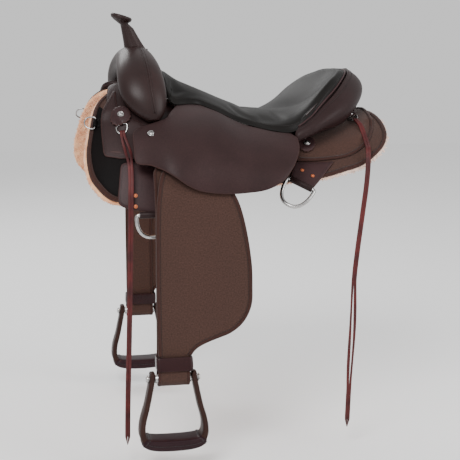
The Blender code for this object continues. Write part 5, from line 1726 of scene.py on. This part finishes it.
def seat_line(first, last, way):
    """A line along the roll, from one row to another; the way gives where it crosses each."""
    return np.array([roll_at(SEAT_ROWS[k], way(k)) for k in range(first, last)])


def both_halves(line):
    """A far-side line joined to its mirror image."""
    return np.vstack([line * (1, -1, 1), line[::-1][1:]])


SEAT_LIFT = 0.0003
total = len(SEAT_ROWS)
edge_line = both_halves(seat_line(WRAPPED_FROM, total, lambda k: WELT_AT[k]))
welt = wire("cantle_welt", even(on_seat(edge_line, 0.0004), 0.003), 0.0020, dark_leather, sides=12)
stand_for(welt, "saddle", "seat_leather")
beside = both_halves(seat_line(WRAPPED_FROM + 2, total, lambda k: WELT_AT[k] - 0.14))
behind = both_halves(seat_line(WRAPPED_FROM + 3, total, lambda k: WELT_AT[k] + 0.11))
rows = [on_seat(beside, SEAT_LIFT), on_seat(behind, SEAT_LIFT)]
for name, side in SIDES:
    low = seat_line(4 * RIB_STEPS, WRAPPED_FROM + 2, lambda k: 0.66) * (1, side, 1)
    face = seat_line(3, 16, lambda k: 0.62) * (1, side, 1)
    rows += [on_seat(low, SEAT_LIFT), on_seat(face, SEAT_LIFT)]
stitch("seat_stitches", rows, "saddle", "seat_leather", 0.0048, 0.0038, 0.0010)
PIPING_ROW = 17
for name, side in SIDES:
    rise = [roll_at(SEAT_ROWS[PIPING_ROW], share) for share in np.linspace(0, 0.95, 20)]
    line = even(on_seat(np.array(rise) * (1, side, 1), ON_LEATHER), 0.003)
    piping = wire(f"seat_front_welt_{name}", line, 0.0013, seat_leather, sides=10)
    stand_for(piping, "saddle", "seat_leather")
print("the welt round the cantle is", round(float(way_along(edge_line)[-1]), 3), "m long")

# %% [markdown]
# The cantle's back is a leather roll over its wooden board, closed under the welt. One profile is
# set at every row of the seat and shrunk towards the ends, so roll and cushion can't part.

# %% Cantle
THINNEST = 0.0008
ROLL = [
    (THINNEST, 0.0060), (0.012, 0.0042), (0.026, -0.006), (0.035, -0.020), (0.036, -0.036),
    (0.029, -0.052), (0.016, -0.063), (THINNEST, -0.060),
]
profile = smooth(np.array(ROLL), 5, True)
profile[:, 0] = np.maximum(profile[:, 0], THINNEST)
near_rows = SEAT_ROWS[WRAPPED_FROM:]
all_rows = [(row * (1, 1, -1, 1, 1, -1, 1, 1), -1) for row in near_rows]
all_rows += [(row, 1) for row in near_rows[::-1][1:]]
rings = []
cantle_sizes = []
for k, (row, side) in enumerate(all_rows):
    out = seat_out(row)
    centre = 1 - abs(k / (len(all_rows) - 1) - 0.5) * 2
    size = 0.36 + 0.64 * ease(centre * 1.8)
    cantle_sizes.append(size)
    rings.append(row[4:7] + out * profile[:, :1] * size + np.array([0, 0, 1.0]) * profile[:, 1:] * size)
cantle = loft("cantle_leather_cover", domed_ends(np.array(rings), 0.010), back_leather)
stand_for(cantle, "saddle", "cantle_leather", "cantle_cover")
rows = []
for way in (0.008, 0.0125):
    line = []
    for (row, side), size in zip(all_rows, cantle_sizes):
        line.append(row[4:7] + seat_out(row) * way * size + np.array([0, 0, 0.0050 * size]))
    rows.append(np.array(line))
stitch("cantle_stitches", rows, "saddle", "cantle_leather", 0.0046, 0.0036, 0.0010)
print("cantle rings:", len(rings))

# %% [markdown]
# Screws and rivets are turned shapes: a profile spun round an axis. Each sits square on the
# curved surface below it, so its place and its direction are both read from that surface. One
# helper bends the wire of every D, large or small.

# %% Small hardware
def spot_on(surface, x, s, lift, side):
    """A point over a surface, and the outward direction there."""
    found = surface.read(np.array([x]), np.array([s]))[0]
    return surface.place(x, s, lift, side)[0], unit(np.array([0, side * found[2], found[3]]))


def screw(name, point, out, radius, body, slot):
    """A round nickel head in a cup washer, with a small star-shaped recess."""
    profile = (
        (-0.0006, 1.5), (0.0006, 1.5), (0.0013, 1.36), (0.0009, 1.08), (0.0008, 1.0),
        (0.0018, 0.97), (0.0026, 0.80), (0.0031, 0.50), (0.0033, 0.2),
    )
    steps = [(height, radius * share) for height, share in profile]
    head = turned(name, steps, point, out, nickel)
    head.data.set_sharp_from_angle(angle=math.radians(42))
    stand_for(head, body, slot)
    first = unit(np.cross(out, SKEW))
    second = np.cross(out, first)
    turn = np.linspace(0, 2 * math.pi, 24, endpoint=False)
    reach = radius * np.tile((0.42, 0.30, 0.20, 0.30), 6)
    star = reach[:, None] * (np.cos(turn)[:, None] * first + np.sin(turn)[:, None] * second)
    rings = [point + out * 0.0022 + star, point + out * 0.00345 + star, point + out * 0.00350 + star * 0.4]
    recess = loft(f"{name}_recess", rings, steel, flat=False)
    stand_for(recess, body, slot)


RIVET = 0.0042


def rivet(name, point, out, body):
    """A copper rivet, its end hammered over a burr."""
    profile = (
        (-0.0006, 1.0), (0.0005, 1.0), (0.0009, 0.92), (0.0010, 0.58),
        (0.0018, 0.52), (0.0022, 0.34), (0.0023, 0.1),
    )
    steps = [(height, RIVET * share) for height, share in profile]
    stud = turned(name, steps, point, out, copper, 20)
    stud.data.set_sharp_from_angle(angle=math.radians(42))
    stand_for(stud, body, "rigging_leather")


def sleeve(name, start, end, bore, wall, material):
    """A round fold of leather about a bar, open at both ends."""
    inwards = unit(end - start) * 0.0007
    outer = [start, start + inwards, (start + end) / 2, end - inwards, end]
    radii = bore + wall - np.array([0.0006, 0, 0, 0, 0.0006])
    rings = wire_rings(np.array(outer), radii, False, SKEW, 24)
    hollow = wire_rings(np.array([end, start]), np.array([bore, bore]), False, SKEW, 24)
    return loft(name, np.concatenate([rings, hollow]), material, closed=True)


def dee_points(middle, along, down, half, depth, corner):
    """The centre line of a D: a straight bar, then a round bow below it."""
    turns = np.arange(1, 6) * math.pi / 12
    knee = [(half - corner + corner * math.sin(t), corner - corner * math.cos(t)) for t in turns]
    spots = [((half - corner) * k / 3, 0) for k in range(-3, 4)] + knee
    for turn in np.arange(37) * math.pi / 36:
        flat = abs(math.cos(turn)) ** 0.85 * (1 if math.cos(turn) > 0 else -1)
        spots.append((half * flat, corner + (depth - corner) * math.sin(turn) ** 0.85))
    spots += [(-across, below) for across, below in knee[::-1]]
    return np.array([middle + along * across + down * below for across, below in spots])


def settled(vector, *others):
    """The part of a vector square to some unit vectors, made one long."""
    for other in others:
        vector = vector - vector.dot(other) * other
    return unit(vector)


print("points round a D:", len(dee_points(np.zeros(2), *np.eye(2), 0.03, 0.05, 0.005)))

# %% [markdown]
# Rigging is what the girth hangs on. On each side a leather at the front and one at the rear are
# riveted through the skirt, and each is folded round the straight bar of a D ring. The ring is a
# bent wire, so it is a tube along a line of points. The fold is a hollow sleeve with room for it.

# %% Rigging
RIG_IN = SKIRT_OUT + GAP
RIG_OUT = RIG_IN + 0.004
RING_WIRE = 0.0036
RING_FIT = 0.0008
FOLD = 0.0024
SLEEVE_HALF = 0.0255
FRONT_BAR = (-0.2128, 0.3605)
DEE_HALF = 0.0318
DEE_CORNER = 0.0055
DEE_GROWTH = 0.0004
RIG_SEAM = 0.0050
SEAM_BELOW = 0.349
RIGGING = {
    "front": [
        (-0.270, 0.262), (-0.276, 0.300), (-0.280, 0.332), (-0.273, 0.345), (-0.259, 0.3520),
        (-0.2395, 0.3564, 1), (-0.1866, 0.3564, 1), (-0.1866, 0.310), (-0.188, 0.262, 1),
        (-0.200, 0.2555, 1), (-0.262, 0.2555, 1),
    ],
    "rear": [
        (0.108, 0.180, 1), (0.190, 0.198, 1), (0.157, 0.231), (0.1316, 0.2541, 1), (0.0896, 0.2201, 1),
        (0.098, 0.200),
    ],
}
RIVETS = {"front": [(-0.244, 0.326), (-0.245, 0.348)], "rear": [(0.118, 0.205), (0.137, 0.224)]}
REAR_BAR = ((0.0862, 0.2225), (0.1318, 0.2585))
RING_DEPTH = {"front": 0.046, "rear": 0.057}
RING_LEAN = {"front": 0.0, "rear": math.radians(40)}


def sleeve_ends(side, which):
    """The two ends of the leather fold that holds a rigging ring."""
    depth = RIG_IN + RING_WIRE + RING_FIT + FOLD
    if which == "front":
        middle = BACK.place(*FRONT_BAR, depth, side)[0]
        return middle - (SLEEVE_HALF, 0, 0), middle + (SLEEVE_HALF, 0, 0)
    a, b = (BACK.place(x, s, depth, side)[0] for x, s in REAR_BAR)
    middle, run = (a + b) / 2, unit(b - a)
    return middle - run * SLEEVE_HALF, middle + run * SLEEVE_HALF


for name, side in SIDES:
    place = lying(BACK, side)
    for which in ("front", "rear"):
        line = cut(RIGGING[which])
        part = f"{which}_rigging"
        leaf = panel(f"{part}_leather_{name}", line, place, RIG_IN, RIG_OUT, dark_leather, 0.006, 0.0014)
        stand_for(leaf, "saddle", "rigging_leather", f"{part}_{name}")
        row = inset(line, RIG_SEAM)
        if which == "front":
            row = row[row[:, 1] < SEAM_BELOW]
        rows = [traced(place, row, RIG_OUT + ON_LEATHER)]
        stitch(f"{part}_stitches_{name}", rows, "saddle", "rigging_leather")
        start, end = sleeve_ends(side, which)
        bore = RING_WIRE + RING_FIT
        fold = sleeve(f"{which}_ring_fold_{name}", start, end, bore, FOLD, back_leather)
        stand_for(fold, "saddle", "rigging_leather")
        for k, (x, s) in enumerate(RIVETS[which]):
            rivet(f"{which}_rivet_{k}_{name}", *spot_on(BACK, x, s, RIG_OUT, side), "saddle")
        middle, along = (start + end) / 2, unit(end - start)
        down = settled(np.array([0, 0, -1.0]), along)
        out = settled(np.array([0, float(side), 0]), along, down)
        down = math.cos(RING_LEAN[which]) * down + math.sin(RING_LEAN[which]) * out
        points = dee_points(middle, along, down, DEE_HALF, RING_DEPTH[which], DEE_CORNER)
        square = np.cross(along, down)
        ring = wire(f"{which}_dee_ring_{name}", points, RING_WIRE + DEE_GROWTH, nickel, True, square, 20)
        stand_for(ring, f"{which}_ring_body_{name}", "nickel", f"{which}_ring_{name}")
print("rigging ring inside width:", round(2 * (DEE_HALF - RING_WIRE - DEE_GROWTH), 4), "m")

# %% [markdown]
# A rosette is a scalloped disc of leather that spreads the pull of what is screwed through it.
# Its outline is a circle with a wave in its radius, cut like any other panel, and thinner at its
# rim. The small dees carry the saddle strings. Leather tabs hold two more at the front edge.

# %% Rosettes, string dees and breast collar dees
DEE_WIRE = 0.0015
ROSETTES = {
    "front": (-0.263, 0.153, 0.0205, 2 * DEE_WIRE + 2 * GAP),
    "rear": (0.1375, 0.1475, 0.0190, 0.0024),
}
ROSETTE = 0.0036
SCREW = {"front": 0.0046, "rear": 0.0052}
STRING_DEES = {"front": (-0.262, 0.171, 0.0110, 0.0195), "rear": (0.260, 0.076, 0.0105, 0.0230)}
KEEPER = (0.260, 0.070)
KEEPER_TOP = 2 * DEE_WIRE + 0.0030
JOCKEY_SCREW = (-0.206, 0.228)


def scallops(x, s, radius, lobes=14, depth=0.060):
    """The outline of a disc with round lobes."""
    turn = np.linspace(0, 2 * math.pi, lobes * 12, endpoint=False)
    reach = radius * (1 - depth + 2 * depth * np.abs(np.sin(turn * lobes / 2)) ** 0.7)
    return np.c_[x + reach * np.cos(turn), s + reach * np.sin(turn)]


def rosette_top(x, s, radius, lift):
    """The rule for a rosette's upper face, thinner towards its rim."""

    def top(a, b):
        way = np.hypot(a - x, b - s) / radius
        return over_cover(a, b) + lift + ROSETTE - 0.0012 * np.clip((way - 0.72) / 0.28, 0, 1) ** 2

    return top


for name, side in SIDES:
    place = lying(BACK, side)
    for which, (x, s, radius, lift) in ROSETTES.items():
        part = f"{which}_rosette"
        low, high = raised(over_cover, lift), rosette_top(x, s, radius, lift)
        round_line = scallops(x, s, radius)
        disc = panel(f"{part}_leather_{name}", round_line, place, low, high, dark_leather, 0.003, 0.0008)
        stand_for(disc, "saddle", "rosette_leather", f"{part}_{name}")
        turn = np.linspace(0, 2 * math.pi, 49)
        ring = np.array([x, s]) + radius * 0.76 * np.c_[np.cos(turn), np.sin(turn)]
        rows = [traced(place, ring, raised(high, 0.0001))]
        stitch(f"{part}_stitches_{name}", rows, "saddle", "rosette_leather", 0.0032, 0.0024, 0.0007)
        top = float(high(np.array([x]), np.array([s]))[0])
        screw(f"{which}_screw_{name}", *spot_on(BACK, x, s, top, side), SCREW[which], "saddle", "nickel")
    for which, (x, s, half, deep) in STRING_DEES.items():
        flat = dee_points(np.array([x, s]), *np.eye(2), half, deep, 0.004)
        line = traced(place, flat, raised(over_cover, DEE_WIRE + GAP))
        dee = wire(f"{which}_string_loop_{name}", line, DEE_WIRE, nickel, True, (0, side * 0.6, 0.8), 12)
        stand_for(dee, "saddle", "nickel", f"{which}_string_dee_{name}")
    line = scallops(*KEEPER, 0.0125, 12, 0.0)
    low, high = raised(over_cover, 2 * DEE_WIRE + 2 * GAP), raised(over_cover, KEEPER_TOP)
    keeper = panel(f"rear_dee_keeper_{name}", line, place, low, high, dark_leather, 0.004, 0.0008)
    stand_for(keeper, "saddle", "rosette_leather")
    top = float(high(*np.array(KEEPER).reshape(2, 1))[0])
    screw(f"rear_dee_screw_{name}", *spot_on(BACK, *KEEPER, top, side), 0.0040, "saddle", "nickel")
    screw(f"jockey_screw_{name}", *spot_on(FLANK, *JOCKEY_SCREW, 0.0, side), 0.0057, "saddle", "nickel")

BREAST_BAR = ((-0.3120, 0.130), (-0.3185, 0.162))
BREAST_WIRE = 0.0017
BREAST_FIT = 0.0006
TAB = 0.0020
TAB_SHEET = 0.0011
TAB_SEAM = 0.0030
TAB_HALF = 0.009
TAB_CORNERS = ((0.001, -0.009, 1), (0.001, 0.009, 1), (0.024, 0.012), (0.024, -0.012))
for name, side in SIDES:
    place = lying(BACK, side)
    depth = SKIRT_OUT + 2 * GAP + TAB + BREAST_FIT + BREAST_WIRE
    a, b = (BACK.place(x, s, depth, side)[0] for x, s in BREAST_BAR)
    middle, along = (a + b) / 2, unit(b - a)
    x, s = np.mean(BREAST_BAR, 0)
    line = cut([(x + back, s + down, *kind) for back, down, *kind in TAB_CORNERS], 0.002)
    low = SKIRT_OUT + GAP
    high = low + TAB_SHEET
    tab = panel(f"breast_tab_leather_{name}", line, place, low, high, black_leather, 0.004, 0.0005)
    stand_for(tab, "saddle", "strap_leather", f"breast_tab_{name}")
    rows = [traced(place, inset(line, TAB_SEAM), high)]
    stitch(f"breast_tab_stitches_{name}", rows, "saddle", "strap_leather", 0.0034, 0.0026, 0.0006)
    start, end = middle - along * TAB_HALF, middle + along * TAB_HALF
    fold = sleeve(f"breast_tab_fold_{name}", start, end, BREAST_WIRE + BREAST_FIT, TAB, black_leather)
    stand_for(fold, "saddle", "strap_leather")
    ahead = settled(np.array([-1.0, 0, 0]), along)
    points = dee_points(middle, along, ahead, 0.0150, 0.022, 0.004)
    square = np.cross(along, ahead)
    dee = wire(f"breast_loop_{name}", points, BREAST_WIRE - 0.0002, nickel, True, square, 14)
    stand_for(dee, f"breast_dee_body_{name}", "nickel", f"breast_dee_{name}")
print("a rosette is", round(2 * ROSETTES["front"][2], 4), "m across")

# %% [markdown]
# The saddle strings are flat red laces. Each starts in its dee, lies down over the jockey and
# hangs free; its end is cut to a point. Each is two strands side by side: the front ones part
# below the dee, the rear ones near the foot, for tying. A rope simulation would find some way to
# hang; this is the one that was seen.

# %% Saddle strings
LACE = 0.0110
LACE_THICK = 0.0028
LACE_LIFT = 0.0054
LACE_POINT = 0.020
LACE_POINTS = 20
OVERLAP = 0.00001
STRING_START = {
    "front": [(-0.262, 0.186), (-0.2605, 0.204), (-0.2545, 0.232)],
    "rear": [(0.260, 0.101), (0.264, 0.128), (0.267, 0.155), (0.266, 0.180)],
}
STRING_HANG = {
    "front": [
        (-0.2535, 0.236, -0.020), (-0.2535, 0.252, -0.052), (-0.2555, 0.264, -0.085),
        (-0.2565, 0.2685, -0.125), (-0.2585, 0.2685, -0.200), (-0.2630, 0.2665, -0.364),
        (-0.2680, 0.2640, -0.520), (-0.2700, 0.2635, -0.613),
    ],
    "rear": [
        (0.261, 0.208, -0.008), (0.257, 0.222, -0.042), (0.252, 0.228, -0.085),
        (0.245, 0.229, -0.140), (0.234, 0.229, -0.230), (0.228, 0.229, -0.300),
        (0.226, 0.229, -0.420), (0.221, 0.229, -0.530), (0.218, 0.229, -0.618),
    ],
}


def lace_line(which):
    """The middle line of a string, from its dee to its tip."""
    lying_part = np.array(STRING_START[which])
    points = list(traced(lying(BACK, -1), lying_part, raised(over_cover, LACE_LIFT)))
    points += [np.array((x, -y, z)) for x, y, z in STRING_HANG[which]]
    return even(open_curve(points, 10), 0.004)


def lace(name, line, left, right):
    """A flat strip along a line between two edges, given at each step as ways across it."""
    run = units(np.gradient(line, axis=0))
    across = units(np.array([1.0, 0, 0]) - run[:, :1] * run)
    out = np.cross(run, across)
    along = way_along(line)
    rings, uv = [], []
    for k in range(len(line)):
        middle, half = (left[k] + right[k]) / 2, max((right[k] - left[k]) / 2, 0.0004)
        taper = min(1.0, (along[-1] - along[k]) / LACE_POINT + 0.06)
        shape = boxy(half * taper, LACE_THICK / 2, 5.0, LACE_POINTS)
        centre = line[k] + across[k] * middle * min(1.0, taper * 1.2)
        rings.append(centre + shape[:, :1] * across[k] + shape[:, 1:] * out[k])
        uv.append(np.c_[np.full(LACE_POINTS, along[k]), middle + shape[:, 0]])
    made = loft(name, rings, latigo, flat=False)
    lay_flat(made.data, np.concatenate(uv))
    return made, along[-1]


PART_OVER = 26


def opening(line, which):
    """Half the gap between the two strands at each step, and how far both sway to one side."""
    if which == "front":
        share = np.clip(np.arange(len(line)) / PART_OVER, 0, 1)
        return 0.0024 * np.sin(math.pi * share) ** 2, 0.0
    share = np.clip((-0.29 - line[:, 2]) / 0.24, 0, 1)
    return 0.0021 * np.sin(math.pi * share), 0.0012 * np.sin(2 * math.pi * share)


for which in ("front", "rear"):
    line = lace_line(which)
    gap, sway = opening(line, which)
    strand, length = lace(f"{which}_lace", line, -LACE / 2 - gap + sway, OVERLAP - gap)
    other, _ = lace("other_strand", line, gap - OVERLAP, LACE / 2 + gap + sway)
    joined = bmesh.new()
    joined.from_mesh(strand.data)
    joined.from_mesh(other.data)
    joined.to_mesh(strand.data)
    joined.free()
    bpy.data.objects.remove(other, do_unlink=True)
    stand_for(strand, "saddle", "latigo", f"{which}_string_near")
    tuple(line[0])
    [tuple(p) for p in line]
    print(which, "lace:", round(length, 3), "m")

# %% [markdown]
# The tree, the ground seat and the horn's core are hidden, and keep the frame's own shapes. They
# only get their materials: the bars and the cantle board are wrapped in leather.

# %% Hidden parts
HIDDEN = {
    "tree_fork": wood, "tree_cantle": back_leather, "tree_bar_near": back_leather,
    "tree_bar_far": back_leather, "ground_seat": dark_leather, "horn_core": steel,
    "leather_hanger_near": steel, "leather_hanger_far": steel,
}
for node, material in HIDDEN.items():
    for spot in nodes[node].material_slots:
        spot.material = material
print("still shown of the frame:", sorted(n for n, o in nodes.items() if not o.hide_render))

# %% [markdown]
# A pale floor, a pale sky and three soft lights, as in a shop photograph: a key light from the
# horse's head, a fill from its tail and one from behind for the rims.

# %% Stage and light
FLOOR_REACH = 6.0
FLOOR_Z = -0.66
corners = [(FLOOR_REACH * a, FLOOR_REACH * b, FLOOR_Z) for a, b in ((-1, -1), (1, -1), (1, 1), (-1, 1))]
floor_mesh = bpy.data.meshes.new("floor")
floor_mesh.from_pydata(corners, [], [(0, 1, 2, 3)])
floor = new_object("floor", floor_mesh)
pale, _, _ = new_material("pale_floor", 0.9)
pale.node_tree.nodes["Principled BSDF"].inputs["Base Color"].default_value = (0.93, 0.93, 0.93, 1)
floor_mesh.materials.append(pale)


def lamp(name, place, size, power):
    """A round soft light that looks at the saddle."""
    data = bpy.data.lights.new(name, "AREA")
    data.shape = "DISK"
    data.size = size
    data.energy = power
    made = new_object(name, data)
    made.location = place
    made.rotation_euler = (TARGET - Vector(place)).to_track_quat("-Z", "Y").to_euler()


lamp("key", (-1.3, -2.4, 2.2), 1.6, 95)
lamp("fill", (2.3, -1.8, 1.2), 1.8, 45)
lamp("back", (-1.0, 2.5, 1.9), 1.6, 38)
world = bpy.data.worlds.new("studio")
world.use_nodes = True
world.node_tree.nodes["Background"].inputs["Color"].default_value = (1, 1, 1, 1)
world.node_tree.nodes["Background"].inputs["Strength"].default_value = 0.85
bpy.context.scene.world = world
